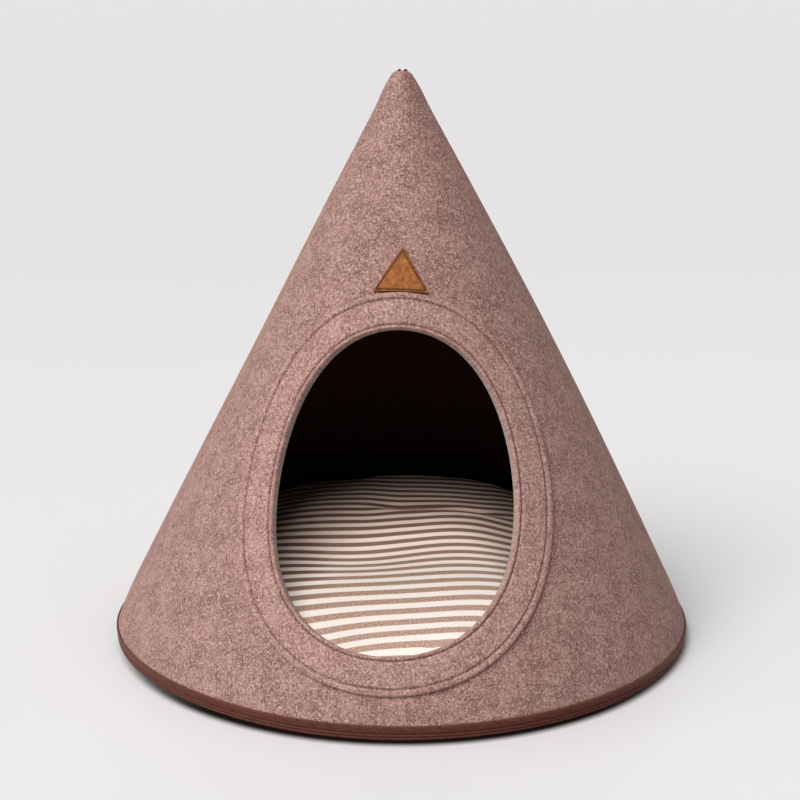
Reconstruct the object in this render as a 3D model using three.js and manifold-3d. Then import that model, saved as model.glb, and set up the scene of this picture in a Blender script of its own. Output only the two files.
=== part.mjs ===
// Cone-shaped felt bed for a small pet. One felt sheet is rolled into the wall and has an oval doorway with a
// felt facing round it. Brown tape binds the wall to a felt floor, and a filled cushion lies on the floor.
// Millimetres, +Z up. The origin is on the ground under the middle of the floor, and the doorway faces -Y.
import * as THREE from 'three';
import { mergeVertices } from 'three/addons/utils/BufferGeometryUtils.js';
import Module from 'manifold-3d';

const wasm = await Module();
wasm.setup();

// Clearance between pieces that touch, and how near two corners are one
const GAP = 0.3;
const SAME_CORNER = 1e-3;

// Wall: its straight lines would meet at APEX_HEIGHT, and each line bows out a little and sways to +X
const FOOT_RADIUS = 256;
const APEX_HEIGHT = 496;
const WALL_BOW = 4.1;
const WALL_SWAY = 2.5;
const FELT_THICKNESS = 4;
const TIP_HEIGHT = 484.6;
const TIP_ROUNDING = 2.4;
const TIP_CAP = 5;
const WALL_ROWS = 7;
const ROUND_STEPS = 64;

// The binding draws the wall's foot in, from this height down, and holds it upright behind the tape
const FOOT_DRAW = 3.8;
const FOOT_DRAW_HEIGHT = 40;
const BINDING_HEIGHT = 11;
const BINDING_TUCK = 1.6;

// Floor, and the outer face of the tape that binds its edge to the wall
const FLOOR_RADIUS = 244.5;
const BINDING_PROFILE = [
  { z: 0, radius: 247.2 },
  { z: 0.7, radius: 248.5 },
  { z: 1.8, radius: 249.1 },
  { z: 2.7, radius: 249 },
  { z: 3.1, radius: 248.6 },
  { z: 3.5, radius: 249.2 },
  { z: 4.6, radius: 249.5 },
  { z: 5.4, radius: 249.2 },
  { z: 5.8, radius: 248.7 },
  { z: 6.3, radius: 249.5 },
  { z: 8, radius: 249.9 },
  { z: 9.8, radius: 250 },
  { z: 10.8, radius: 249.8 },
];

// Doorway and its facing: ovals on the flat felt, a little wider below and leaning, tilt in degrees. The egg widens
// one end and narrows the other, and fullness swells the four diagonals.
// shift and down place an oval's middle, to the side of the doorway's line and below the apex along the wall.
const DOOR_TURN = THREE.MathUtils.degToRad(-2.9);
const DOOR_OVAL = {
  shift: 0.7,
  down: 361.2,
  halfWidth: 97.4,
  halfHeight: 129.8,
  egg: -0.057,
  tilt: 0.9,
  fullness: 0.024,
};
const FACING_OVAL = {
  shift: 0.4,
  down: 361.7,
  halfWidth: 131.6,
  halfHeight: 160.4,
  egg: -0.04,
  tilt: 0.6,
  fullness: 0.016,
};
const DOOR_STEPS = 64;
const PLUG_REACH = 20;
const PLUG_SHARES = [0.3, 0.6, 0.85];

// Section across the facing, from its outer edge to the doorway, pressed down under the two rows of stitching
const FACING_LIFT = 0.45;
const FACING_UNDER_SHARES = [0, 0.2, 0.4, 0.6, 0.8, 1];
const FACING_SECTION = [
  { share: 1, rise: 0.9 },
  { share: 0.96, rise: 2.2 },
  { share: 0.88, rise: 2.7 },
  { share: 0.81, rise: 1.9 },
  { share: 0.74, rise: 2.6 },
  { share: 0.54, rise: 2.5 },
  { share: 0.34, rise: 2.5 },
  { share: 0.17, rise: 2.6 },
  { share: 0.115, rise: 1.9 },
  { share: 0.07, rise: 2.6 },
  { share: 0.03, rise: 2.2 },
  { share: 0, rise: 0.9 },
];

// Triangular leather patch above the doorway
const LABEL_SIDE = 42;
const LABEL_CORNER_TRIM = 1.6;
const LABEL_DOWN = 188.5;
const LABEL_TURN = THREE.MathUtils.degToRad(-1.4);
const LABEL_TILT = THREE.MathUtils.degToRad(2);
const LABEL_THICKNESS = 2;
const LABEL_EDGE_ROUND = 0.5;
const LABEL_SHARES = [0.35, 0.65];
const LABEL_STEPS = 36;

// Tape ends at the tip
const TAPE_END = { width: 2.9, depth: 2.4, height: 1.9, spread: 2.45 };

// Cushion: a crown above the seam and a belly below it, flat where it lies on the floor
const CUSHION_RADIUS = 227;
const CUSHION_SEAM_HEIGHT = 36;
const CUSHION_CROWN = 48;
const CUSHION_FLAT_RADIUS = 186;
const CROWN_POWER = 3;
const CROWN_FULLNESS = 0.7;
const BELLY_POWER = 2.2;
const CROWN_ROWS = 10;
const BELLY_ROWS = 4;
const CUSHION_STEPS = 48;
const CUSHION_TILT = 0.04;
const RIM_HOLD_POWER = 8;

// Swells and hollows of the cushion's top
const CUSHION_SWELLS = [
  { x: -25, y: -45, spreadX: 60, spreadY: 45, rise: -5 },
  { x: 0, y: 165, spreadX: 160, spreadY: 60, rise: 6 },
  { x: 85, y: -140, spreadX: 60, spreadY: 60, rise: 8 },
  { x: 50, y: 30, spreadX: 40, spreadY: 60, rise: 3.5 },
  { x: 10, y: -205, spreadX: 80, spreadY: 30, rise: 4 },
];

const slope = Math.atan2(FOOT_RADIUS, APEX_HEIGHT);
const floorTop = FELT_THICKNESS;
const wallFoot = floorTop + GAP;

const materials = {
  felt: new THREE.MeshStandardMaterial({ color: '#b18e85', roughness: 0.95, metalness: 0 }),
  binding: new THREE.MeshStandardMaterial({ color: '#5e3931', roughness: 0.8, metalness: 0 }),
  cover: new THREE.MeshStandardMaterial({ color: '#d6c5b5', roughness: 0.9, metalness: 0 }),
  leather: new THREE.MeshStandardMaterial({ color: '#9a6440', roughness: 0.6, metalness: 0 }),
};

// A rise from 0 to 1 halfway along and back to 0.
function hump(share) {
  return 4 * share * (1 - share);
}

// Radius of the wall's outer face at a height.
function wallRadius(z) {
  const share = z / APEX_HEIGHT;
  const straight = FOOT_RADIUS * (1 - share);
  return straight + WALL_BOW * hump(share) - footDraw(z) - bindingTuck(z);
}

// How far the wall is drawn in towards its foot.
function footDraw(z) {
  const share = Math.max(0, FOOT_DRAW_HEIGHT - z) / FOOT_DRAW_HEIGHT;
  return FOOT_DRAW * share * share;
}

// How much further in the wall goes behind the binding, which keeps it from spreading with the slope.
function bindingTuck(z) {
  const behind = Math.max(0, BINDING_HEIGHT - z) / BINDING_HEIGHT;
  return (Math.tan(slope) * BINDING_HEIGHT + BINDING_TUCK) * behind;
}

// Sideways sway of the wall's middle, none at the binding or the tip.
function wallSway(z) {
  const share = Math.max(0, z - BINDING_HEIGHT) / (APEX_HEIGHT - BINDING_HEIGHT);
  return WALL_SWAY * hump(share);
}

// A point of the flat felt, rolled on to the wall and lifted off its outer face.
// across and down are measured from the apex on the unrolled felt, and turn moves the piece round the cone.
function onWall(across, down, turn, lift) {
  const slant = Math.hypot(across, down);
  const sweep = Math.atan2(across, down) / Math.sin(slope) + turn;
  const z = APEX_HEIGHT - slant * Math.cos(slope);
  const radius = wallRadius(z) + lift * Math.cos(slope);
  return new THREE.Vector3(
    wallSway(z) + radius * Math.sin(sweep),
    -radius * Math.cos(sweep),
    z + lift * Math.sin(slope),
  );
}

// A round solid from a profile of [radius, height] pairs, turned about +Z.
// Each profile runs outward along the bottom, up the outside and back in along the top.
function turned(profile, steps) {
  const points = profile.map(([radius, height]) => new THREE.Vector2(radius, height));
  return new THREE.LatheGeometry(points, steps).rotateX(Math.PI / 2);
}

// Moves each vertex of a geometry by a function of its position.
function reshape(geometry, place) {
  const position = geometry.getAttribute('position');
  const vertex = new THREE.Vector3();
  for (let i = 0; i < position.count; i += 1) {
    vertex.fromBufferAttribute(position, i);
    const moved = place(vertex);
    position.setXYZ(i, moved.x, moved.y, moved.z);
  }
  return geometry;
}

// A solid patch on the wall: a section of [share, lift] pairs taken round an outline on the flat felt.
// outline(share, angle) gives the place on the flat felt as across and down.
function rolledPatch(section, steps, turn, outline) {
  return reshape(turned(section, steps), (vertex) => {
    const share = Math.hypot(vertex.x, vertex.y);
    const angle = Math.atan2(vertex.x, -vertex.y);
    const { across, down } = outline(share, angle);
    return onWall(across, down, turn, vertex.z);
  });
}

// Geometry with shared vertices, as a solid that can be cut.
function toSolid(geometry) {
  geometry.deleteAttribute('normal');
  geometry.deleteAttribute('uv');
  const merged = mergeVertices(geometry, SAME_CORNER);
  return new wasm.Manifold(
    new wasm.Mesh({
      numProp: 3,
      vertProperties: merged.getAttribute('position').array,
      triVerts: new Uint32Array(merged.index.array),
    }),
  );
}

// A cut solid, back as geometry.
function toGeometry(solid) {
  const { vertProperties, triVerts } = solid.getMesh();
  const geometry = new THREE.BufferGeometry();
  geometry.setAttribute('position', new THREE.BufferAttribute(vertProperties, 3));
  geometry.setIndex(new THREE.BufferAttribute(triVerts, 1));
  return geometry;
}

// Place on the flat felt at a share of the way from one oval to another.
function betweenOvals(inner, outer, share, angle) {
  const blend = (key) => THREE.MathUtils.lerp(inner[key], outer[key], share);
  const narrowing = 1 - blend('egg') * Math.cos(angle);
  const spot = new THREE.Vector2(
    blend('halfWidth') * Math.sin(angle) * narrowing,
    blend('halfHeight') * Math.cos(angle),
  );
  spot.multiplyScalar(1 + blend('fullness') * Math.sin(2 * angle) ** 2);
  spot.rotateAround(new THREE.Vector2(), THREE.MathUtils.degToRad(blend('tilt')));
  return { across: blend('shift') + spot.x, down: blend('down') + spot.y };
}

// The felt wall: a rolled sheet, closed at the blunt tip and open at the foot, with the doorway cut square to it.
function feltCone() {
  const rows = Array.from({ length: WALL_ROWS + 1 }, (_, row) =>
    THREE.MathUtils.lerp(FOOT_DRAW_HEIGHT, TIP_HEIGHT - TIP_ROUNDING, row / WALL_ROWS),
  );
  const footRows = [wallFoot, BINDING_HEIGHT, (BINDING_HEIGHT + FOOT_DRAW_HEIGHT) / 2];
  const outer = [...footRows, ...rows].map((z) => [wallRadius(z), z]);
  const across = FELT_THICKNESS / Math.cos(slope);
  const innerTop = TIP_HEIGHT - TIP_CAP;
  const inner = outer.slice(0, -1).map(([radius, z]) => [radius - across, z]);
  const profile = [
    [0, innerTop],
    [wallRadius(innerTop) - across, innerTop],
    ...inner.reverse(),
    ...outer,
    [wallRadius(TIP_HEIGHT) - TIP_ROUNDING, TIP_HEIGHT],
    [0, TIP_HEIGHT],
  ];
  const wall = reshape(turned(profile, ROUND_STEPS), (vertex) => {
    vertex.x += wallSway(vertex.z);
    return vertex;
  });
  return toGeometry(toSolid(wall).subtract(toSolid(doorPlug())));
}

// The solid that is cut out of the wall for the doorway, reaching past both its faces.
function doorPlug() {
  const shares = [0, ...PLUG_SHARES, 1];
  const section = [
    ...shares.map((share) => [share, -PLUG_REACH]),
    ...shares.reverse().map((share) => [share, PLUG_REACH]),
  ];
  const middle = { ...DOOR_OVAL, halfWidth: 0, halfHeight: 0 };
  return rolledPatch(section, DOOR_STEPS, DOOR_TURN, (share, angle) =>
    betweenOvals(middle, DOOR_OVAL, share, angle),
  );
}

// The felt ring sewn on round the doorway. The turned section sits one unit out, so that it stays a ring.
function doorFacing() {
  const section = [
    ...FACING_UNDER_SHARES.map((share) => [1 + share, FACING_LIFT]),
    ...FACING_SECTION.map(({ share, rise }) => [1 + share, FACING_LIFT + rise]),
  ];
  section.push(section[0]);
  return rolledPatch(section, DOOR_STEPS, DOOR_TURN, (share, angle) =>
    betweenOvals(DOOR_OVAL, FACING_OVAL, share - 1, angle),
  );
}

// The triangular patch, its corners trimmed round.
function leatherLabel() {
  const inradius = LABEL_SIDE / (2 * Math.sqrt(3));
  const cornerReach = 2 * inradius - LABEL_CORNER_TRIM;
  const third = (2 * Math.PI) / 3;
  const reach = (angle) => {
    const fromCorner = THREE.MathUtils.euclideanModulo(angle, third);
    return Math.min(inradius / Math.cos(fromCorner - third / 2), cornerReach);
  };
  const top = GAP + LABEL_THICKNESS;
  const edge = 1 - LABEL_EDGE_ROUND / inradius;
  const section = [
    [0, GAP],
    ...LABEL_SHARES.map((share) => [share, GAP]),
    [1, GAP],
    [1, top - LABEL_EDGE_ROUND],
    [edge, top],
    ...[...LABEL_SHARES].reverse().map((share) => [share, top]),
    [0, top],
  ];
  return rolledPatch(section, LABEL_STEPS, LABEL_TURN, (share, angle) => {
    const along = share * reach(angle - Math.PI);
    return {
      across: along * Math.sin(angle - LABEL_TILT),
      down: LABEL_DOWN + along * Math.cos(angle - LABEL_TILT),
    };
  });
}

// The round felt floor.
function basePanel() {
  const profile = [
    [0, 0],
    [FLOOR_RADIUS, 0],
    [FLOOR_RADIUS, floorTop],
    [0, floorTop],
  ];
  return turned(profile, ROUND_STEPS);
}

// The tape round the foot, level with the floor's underside and pressed against the wall.
function baseBinding() {
  const footRadius = wallRadius(wallFoot) + GAP;
  const profile = [
    ...BINDING_PROFILE.map(({ z, radius }) => [radius, z]),
    [wallRadius(BINDING_HEIGHT) + GAP, BINDING_HEIGHT],
    [footRadius, wallFoot],
    [footRadius, floorTop],
    [FLOOR_RADIUS + GAP, floorTop],
    [FLOOR_RADIUS + GAP, 0],
  ];
  profile.push(profile[0]);
  return turned(profile, ROUND_STEPS);
}

// The filled cushion: crown and belly meet at the seam, and the top has its swells and hollows.
function cushion() {
  const bottom = floorTop + GAP;
  const belly = Array.from({ length: BELLY_ROWS }, (_, row) => {
    const share = row / BELLY_ROWS;
    const radius = THREE.MathUtils.lerp(CUSHION_RADIUS, CUSHION_FLAT_RADIUS, (1 - share) ** BELLY_POWER);
    return [radius, THREE.MathUtils.lerp(bottom, CUSHION_SEAM_HEIGHT, share)];
  });
  const crown = Array.from({ length: CROWN_ROWS + 1 }, (_, row) => {
    const share = Math.cos((Math.PI / 2) * (row / CROWN_ROWS));
    const fullness = Math.max(0, 1 - share ** CROWN_POWER) ** CROWN_FULLNESS;
    return [CUSHION_RADIUS * share, CUSHION_SEAM_HEIGHT + CUSHION_CROWN * fullness];
  });
  const profile = [[0, bottom], ...belly, ...crown];
  return reshape(turned(profile, CUSHION_STEPS), (vertex) => {
    if (vertex.z > CUSHION_SEAM_HEIGHT) {
      vertex.z += cushionSwell(vertex.x, vertex.y);
    }
    return vertex;
  });
}

// Height that the swells add to the cushion's crown, fading out at the seam.
function cushionSwell(x, y) {
  const hold = 1 - (Math.hypot(x, y) / CUSHION_RADIUS) ** RIM_HOLD_POWER;
  const rises = CUSHION_SWELLS.map((swell) => {
    const awayX = (x - swell.x) / swell.spreadX;
    const awayY = (y - swell.y) / swell.spreadY;
    return swell.rise * Math.exp(-awayX * awayX - awayY * awayY);
  });
  return hold * rises.reduce((sum, rise) => sum + rise, CUSHION_TILT * y);
}

// One tape end, standing on the tip.
function tapeEnd() {
  return new THREE.BoxGeometry(TAPE_END.width, TAPE_END.depth, TAPE_END.height);
}

function piece(name, geometry, material) {
  const mesh = new THREE.Mesh(geometry, material);
  mesh.name = name;
  return mesh;
}

const bed = new THREE.Group();
bed.add(piece('felt_cone', feltCone(), materials.felt));
bed.add(piece('door_facing', doorFacing(), materials.felt));
bed.add(piece('base_panel', basePanel(), materials.felt));
bed.add(piece('base_binding', baseBinding(), materials.binding));
bed.add(piece('cushion', cushion(), materials.cover));
bed.add(piece('leather_label', leatherLabel(), materials.leather));

for (const [name, side] of [['tip_tape_left', -1], ['tip_tape_right', 1]]) {
  const end = piece(name, tapeEnd(), materials.binding);
  end.position.set(side * TAPE_END.spread, 0, TIP_HEIGHT + GAP + TAPE_END.height / 2);
  bed.add(end);
}

export default bed;
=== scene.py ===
"""Looks of a cone-shaped felt pet bed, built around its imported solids.

Shapes are worked out in millimetres in the part's own frame: +Z up, the doorway towards -Y, the origin
on the ground under the middle of the floor. They go into meshes in metres.
"""

import logging
import math
from dataclasses import astuple, dataclass
from enum import Enum
from typing import Iterable, Mapping, Sequence

import bpy
import numpy as np
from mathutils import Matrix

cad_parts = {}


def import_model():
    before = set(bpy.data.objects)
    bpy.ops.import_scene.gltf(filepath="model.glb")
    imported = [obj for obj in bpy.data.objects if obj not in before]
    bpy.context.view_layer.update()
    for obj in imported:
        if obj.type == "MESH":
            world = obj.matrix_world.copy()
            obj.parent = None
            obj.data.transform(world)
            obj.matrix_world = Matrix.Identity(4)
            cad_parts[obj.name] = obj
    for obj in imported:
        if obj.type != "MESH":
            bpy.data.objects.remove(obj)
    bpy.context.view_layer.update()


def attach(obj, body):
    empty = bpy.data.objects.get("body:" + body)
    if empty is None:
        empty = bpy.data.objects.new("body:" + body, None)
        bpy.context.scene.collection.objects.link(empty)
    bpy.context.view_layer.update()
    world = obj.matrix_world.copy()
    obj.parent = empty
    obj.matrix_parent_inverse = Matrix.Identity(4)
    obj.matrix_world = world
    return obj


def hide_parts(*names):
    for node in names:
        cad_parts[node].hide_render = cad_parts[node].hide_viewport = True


LOG = logging.getLogger("felt_bed")
Array = np.ndarray
Colour = tuple[float, float, float, float]
Span = tuple[float, float]

MM = 0.001
TINY = 1e-6
FULL_TURN = 2.0 * math.pi
WELD_REACH = 1e-3
WELD_OFFSET = 0.1234
CLOTH_MAP = "cloth"
PAINTED_SHADE_AND_BURNISH = "press"
BODY = "root"


class Slot(Enum):
    """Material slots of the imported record."""

    FELT = "felt"
    TAPE = "tape"
    COVER = "cushion_cover"
    LEATHER = "leather"


class WallFace(Enum):
    """Finishes of the wall's faces, by their number in its mesh."""

    OUTSIDE = 0
    INSIDE = 1
    CUT_EDGE = 2


def linear(code: str) -> Colour:
    """Colour for a shader from a code such as a0b1c2.

    Each channel c becomes ((c + 0.055) / 1.055) ** 2.4, or c / 12.92 where it is very dark.

    Args:
        code: Six hexadecimal digits, two each for red, green and blue.

    Returns:
        Red, green and blue as a shader takes them, and an alpha of 1.
    """
    channels = np.array([int(code[at : at + 2], 16) for at in (0, 2, 4)]) / 255.0
    low = channels / 12.92
    high = ((channels + 0.055) / 1.055) ** 2.4
    red, green, blue = np.where(channels <= 0.04045, low, high)
    return float(red), float(green), float(blue), 1.0


def hump(share: Array) -> Array:
    """A rise from 0 to 1 halfway along and back to 0: four times share times the rest."""
    return 4.0 * share * (1.0 - share)


def smooth(value: Array, low: float, high: float) -> Array:
    """Soft step from 0 at low to 1 at high: 3 t squared less 2 t cubed."""
    share = np.clip((value - low) / (high - low), 0.0, 1.0)
    return share * share * (3.0 - 2.0 * share)


def bell(value: Array, spread: float) -> Array:
    """Soft bump of height 1 at 0: e to the minus square of value over spread."""
    return np.exp(-((value / spread) ** 2))


def unit(arrows: Array) -> Array:
    """Arrows brought to a length of 1."""
    return arrows / np.linalg.norm(arrows, axis=-1, keepdims=True)


def running(steps: Array) -> Array:
    """Distance at each point of a path, from 0: the sum of the steps before it."""
    return np.concatenate([[0.0], np.cumsum(steps)])


def places_of(mesh: bpy.types.Mesh) -> Array:
    """Places of a mesh's points, in millimetres.

    Args:
        mesh: The mesh.

    Returns:
        One row for each point.
    """
    flat = np.empty(3 * len(mesh.vertices), np.float32)
    mesh.vertices.foreach_get("co", flat)
    return flat.reshape(-1, 3) / MM


def move_points(mesh: bpy.types.Mesh, places: Array) -> None:
    """Moves a mesh's points to places in millimetres."""
    mesh.vertices.foreach_set("co", (places * MM).astype(np.float32).ravel())
    mesh.update()


@dataclass
class Surface:
    """A shape as quads over points in millimetres.

    Attributes:
        points: Places of the corners, one row each.
        quads: Four corner numbers for each face. Where two are equal, the face is a triangle.
        cloth: Place on the flat cloth, in metres, of each corner of each face.
        finish: Number of the material of each face.
        press: Burnish on the leather, and painted shade in the creases and folds of the felt and cloth, at
            each corner, from 0 to 1.
    """

    points: Array
    quads: Array
    cloth: Array
    finish: Array
    press: Array

    @classmethod
    def from_grid(
        cls,
        points: Array,
        cloth: Array,
        finish: Array | int = 0,
        keep: Array | None = None,
        press: Array | float = 0.0,
    ) -> "Surface":
        """Faces between the neighbours of a grid, looking along column direction cross row direction.

        Args:
            points: Places, rows by columns by 3, in millimetres.
            cloth: Places on the flat cloth, rows by columns by 2, in millimetres.
            finish: One material number, or one for each row of faces.
            keep: Which faces are made, or None for all.
            press: Burnish and painted shade at each point, as anything that fits rows by columns.

        Returns:
            The surface, with its corners not yet welded.
        """
        rows, columns = points.shape[:2]
        index = np.arange(rows * columns).reshape(rows, columns)
        quads = np.stack([index[:-1, :-1], index[:-1, 1:], index[1:, 1:], index[1:, :-1]], axis=-1)
        numbers = np.broadcast_to(np.atleast_1d(finish)[:, None], (rows - 1, columns - 1))
        chosen = np.ones(numbers.shape, bool) if keep is None else keep
        quads = quads[chosen]
        pressed = np.broadcast_to(press, (rows, columns)).ravel()
        return cls(points.reshape(-1, 3), quads, cloth.reshape(-1, 2)[quads] * MM, numbers[chosen], pressed)

    @classmethod
    def joined(cls, parts: Sequence["Surface"]) -> "Surface":
        """Several surfaces as one, each with its corner numbers moved past those before it.

        Args:
            parts: The surfaces, in order.

        Returns:
            One surface, with its corners not yet welded.
        """
        starts = np.cumsum([0] + [len(part.points) for part in parts[:-1]])
        return cls(
            np.concatenate([part.points for part in parts]),
            np.concatenate([part.quads + start for part, start in zip(parts, starts)]),
            np.concatenate([part.cloth for part in parts]),
            np.concatenate([part.finish for part in parts]),
            np.concatenate([part.press for part in parts]),
        )

    def welded(self) -> "Surface":
        """The surface with corners at one place made one, and faces without area left out.

        Returns:
            A surface whose neighbouring faces share their corners.
        """
        keys = np.round(self.points / WELD_REACH + WELD_OFFSET)
        _, first, number = np.unique(keys, axis=0, return_index=True, return_inverse=True)
        quads = number.reshape(-1)[self.quads]
        solid = (quads != np.roll(quads, 1, axis=1)).sum(axis=1) > 2
        used, corners = np.unique(quads[solid], return_inverse=True)
        kept = first[used]
        faces = corners.reshape(-1, 4)
        return Surface(self.points[kept], faces, self.cloth[solid], self.finish[solid], self.press[kept])

    def to_object(self, name: str, finishes: Sequence[bpy.types.Material]) -> bpy.types.Object:
        """Puts the surface into a smooth mesh object at the origin.

        Args:
            name: Name of the piece.
            finishes: Materials, in the order of the finish numbers.

        Returns:
            The object, linked to the scene.
        """
        corner = self.quads != np.roll(self.quads, 1, axis=1)
        starts = np.concatenate([[0], np.cumsum(corner.sum(axis=1))[:-1]])
        mesh = bpy.data.meshes.new(name)
        mesh.vertices.add(len(self.points))
        mesh.vertices.foreach_set("co", (self.points * MM).astype(np.float32).ravel())
        mesh.loops.add(int(corner.sum()))
        mesh.loops.foreach_set("vertex_index", self.quads[corner].astype(np.int32))
        mesh.polygons.add(len(starts))
        mesh.polygons.foreach_set("loop_start", starts.astype(np.int32))
        mesh.polygons.foreach_set("material_index", self.finish.astype(np.int32))
        layer = mesh.uv_layers.new(name=CLOTH_MAP)
        layer.data.foreach_set("uv", self.cloth[corner].astype(np.float32).ravel())
        mesh.update(calc_edges=True)
        mesh.shade_smooth()
        if self.press.any():
            worn = mesh.attributes.new(PAINTED_SHADE_AND_BURNISH, "FLOAT", "POINT")
            worn.data.foreach_set("value", self.press.astype(np.float32))
        for finish in finishes:
            mesh.materials.append(finish)
        piece = bpy.data.objects.new(name, mesh)
        bpy.context.scene.collection.objects.link(piece)
        return piece


def settle(piece: bpy.types.Object, nodes: Iterable[str] = ()) -> None:
    """Makes a piece ride on the bed and stand for CAD nodes.

    Args:
        piece: The finished piece.
        nodes: CAD nodes that the piece stands for.
    """
    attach(piece, BODY)
    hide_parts(*nodes)
    LOG.info("%s: %d faces", piece.name, len(piece.data.polygons))


@dataclass(frozen=True)
class Ripple:
    """A slight wave of hand-sewn felt.

    Attributes:
        around: Waves in one turn of the wall.
        start: Angle at which the wave starts.
        climb: Height over which it goes on by one radian.
        share: Its share of the ripples' size.
    """

    around: float
    start: float
    climb: float
    share: float

    def height(self, sweep: Array, z: Array) -> Array:
        """Share times the sine of around times sweep plus start plus height over climb."""
        return self.share * np.sin(self.around * sweep + self.start + z / self.climb)


@dataclass(frozen=True)
class ConeForm:
    """The rolled wall as the solids have it: a bowed cone that sways to +X and is drawn in at its foot.

    Attributes:
        bow: How far the wall bows out at half height.
        sway: How far its axis sways.
        foot_draw: How far it is drawn in at the ground, from foot_draw_height down.
        binding_tuck: How far it leans in behind the binding, past the upright.
        flat_left: How far the foot is flattened between front and left, from flat_high down.
        flat_right: The same between front and right.
        ripple: Size of the felt's waves.
        tip_swell: Swelling of the folded tip.
    """

    foot_radius: float = 256.0
    apex_height: float = 496.0
    bow: float = 4.1
    sway: float = 2.5
    foot_draw: float = 3.8
    foot_draw_height: float = 40.0
    binding_height: float = 12.2
    binding_tuck: float = 1.6
    flat_left: float = 5.0
    flat_right: float = 2.0
    flat_high: float = 120.0
    ripple: float = 0.45
    ripples_begin: Span = (20.0, 60.0)
    ripples_end: Span = (270.0, 450.0)
    ripple_waves: tuple[Ripple, ...] = (Ripple(3.0, 0.7, 90.0, 1.0), Ripple(5.0, -1.1, -55.0, 0.6))
    tip_swell: float = 1.2
    tip_swell_height: float = 472.0
    tip_swell_spread: float = 13.0

    @property
    def slope(self) -> float:
        """Angle between the wall's line and the upright."""
        return math.atan2(self.foot_radius, self.apex_height)

    def radius(self, z: Array) -> Array:
        """Outer radius at a height: a taper, a hump and a bell at the tip, less the foot's draw and tuck.

        Args:
            z: Height above the ground.

        Returns:
            Distance from the axis, without the ripples.
        """
        share = z / self.apex_height
        drawn = np.maximum(0.0, self.foot_draw_height - z) / self.foot_draw_height
        behind = np.maximum(0.0, self.binding_height - z) / self.binding_height
        tuck = math.tan(self.slope) * self.binding_height + self.binding_tuck
        straight = self.foot_radius * (1.0 - share)
        swell = self.tip_swell * bell(z - self.tip_swell_height, self.tip_swell_spread)
        full = self.bow * hump(share) + swell
        return straight + full - self.foot_draw * drawn**2 - tuck * behind

    def middle(self, z: Array) -> Array:
        """Sideways place of the wall's axis at a height: a hump between the binding and the apex."""
        above = np.maximum(0.0, z - self.binding_height)
        return self.sway * hump(above / (self.apex_height - self.binding_height))

    def ripples(self, sweep: Array, z: Array) -> Array:
        """The felt's waves, which begin above the foot and end below the tip.

        Args:
            sweep: Radians from the doorway's side.
            z: Height above the ground.

        Returns:
            Millimetres out from the plain form.
        """
        below, above = self.ripples_end
        held = smooth(z, *self.ripples_begin) * smooth(-z, -above, -below)
        return self.ripple * held * sum(wave.height(sweep, z) for wave in self.ripple_waves)

    def flattening(self, sweep: Array, z: Array) -> Array:
        """How far the foot is drawn in between front and sides, by sine twice the sweep, squared.

        Args:
            sweep: Radians from the doorway's side.
            z: Height above the ground.

        Returns:
            Millimetres in towards the axis, fewer higher up.
        """
        share = np.where(np.abs(sweep) < 0.5 * math.pi, np.sin(2.0 * sweep) ** 2, 0.0)
        depth = np.where(sweep < 0.0, self.flat_left, self.flat_right)
        return depth * share * smooth(-z, -self.flat_high, 0.0)

    def ring(self, sweep: Array, radius: Array, z: Array) -> Array:
        """Points round the axis: x is its place plus radius sine sweep, y is minus radius cosine sweep.

        Args:
            sweep: Radians from the doorway's side.
            radius: Distance from the axis.
            z: Height above the ground.

        Returns:
            Places, with a last axis of 3.
        """
        height = np.broadcast_to(z, np.broadcast(sweep, radius, z).shape)
        across = self.middle(height) + radius * np.sin(sweep)
        return np.stack([across, -radius * np.cos(sweep), height], axis=-1)

    def place(self, sweep: Array, z: Array, lift: Array | float = 0.0) -> Array:
        """Points of the wall, lifted square to its face: lift cosine slope out and lift sine slope up.

        Args:
            sweep: Radians from the doorway's side.
            z: Height above the ground.
            lift: Distance off the outer face.

        Returns:
            Places, with a last axis of 3.
        """
        uneven = self.ripples(sweep, z) - self.flattening(sweep, z)
        out = self.radius(z) + uneven + lift * math.cos(self.slope)
        middle = self.middle(z)
        up = z + lift * math.sin(self.slope)
        parts = np.broadcast_arrays(middle + out * np.sin(sweep), -out * np.cos(sweep), up)
        return np.stack(parts, axis=-1)

    def unroll(self, sweep: Array, z: Array, turn: float) -> Array:
        """Place on the flat felt: slant from the apex, at sweep times sine slope from the doorway's line.

        Args:
            sweep: Radians from the doorway's side.
            z: Height above the ground.
            turn: Radians to the doorway's line.

        Returns:
            Places, with a last axis of 2.
        """
        slant = (self.apex_height - z) / math.cos(self.slope)
        angle = (sweep - turn) * math.sin(self.slope)
        return np.stack([slant * np.sin(angle), slant * np.cos(angle)], axis=-1)

    def roll(self, flat: Array, turn: float, lift: Array | float = 0.0) -> Array:
        """Points of the wall from places on the flat felt, the reverse of unroll, lifted off the face.

        Args:
            flat: Places on the flat felt.
            turn: Radians to the doorway's line.
            lift: Distance off the outer face.

        Returns:
            Places, with a last axis of 3.
        """
        slant = np.hypot(flat[..., 0], flat[..., 1])
        sweep = np.arctan2(flat[..., 0], flat[..., 1]) / math.sin(self.slope) + turn
        return self.place(sweep, self.apex_height - slant * math.cos(self.slope), lift)


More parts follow.
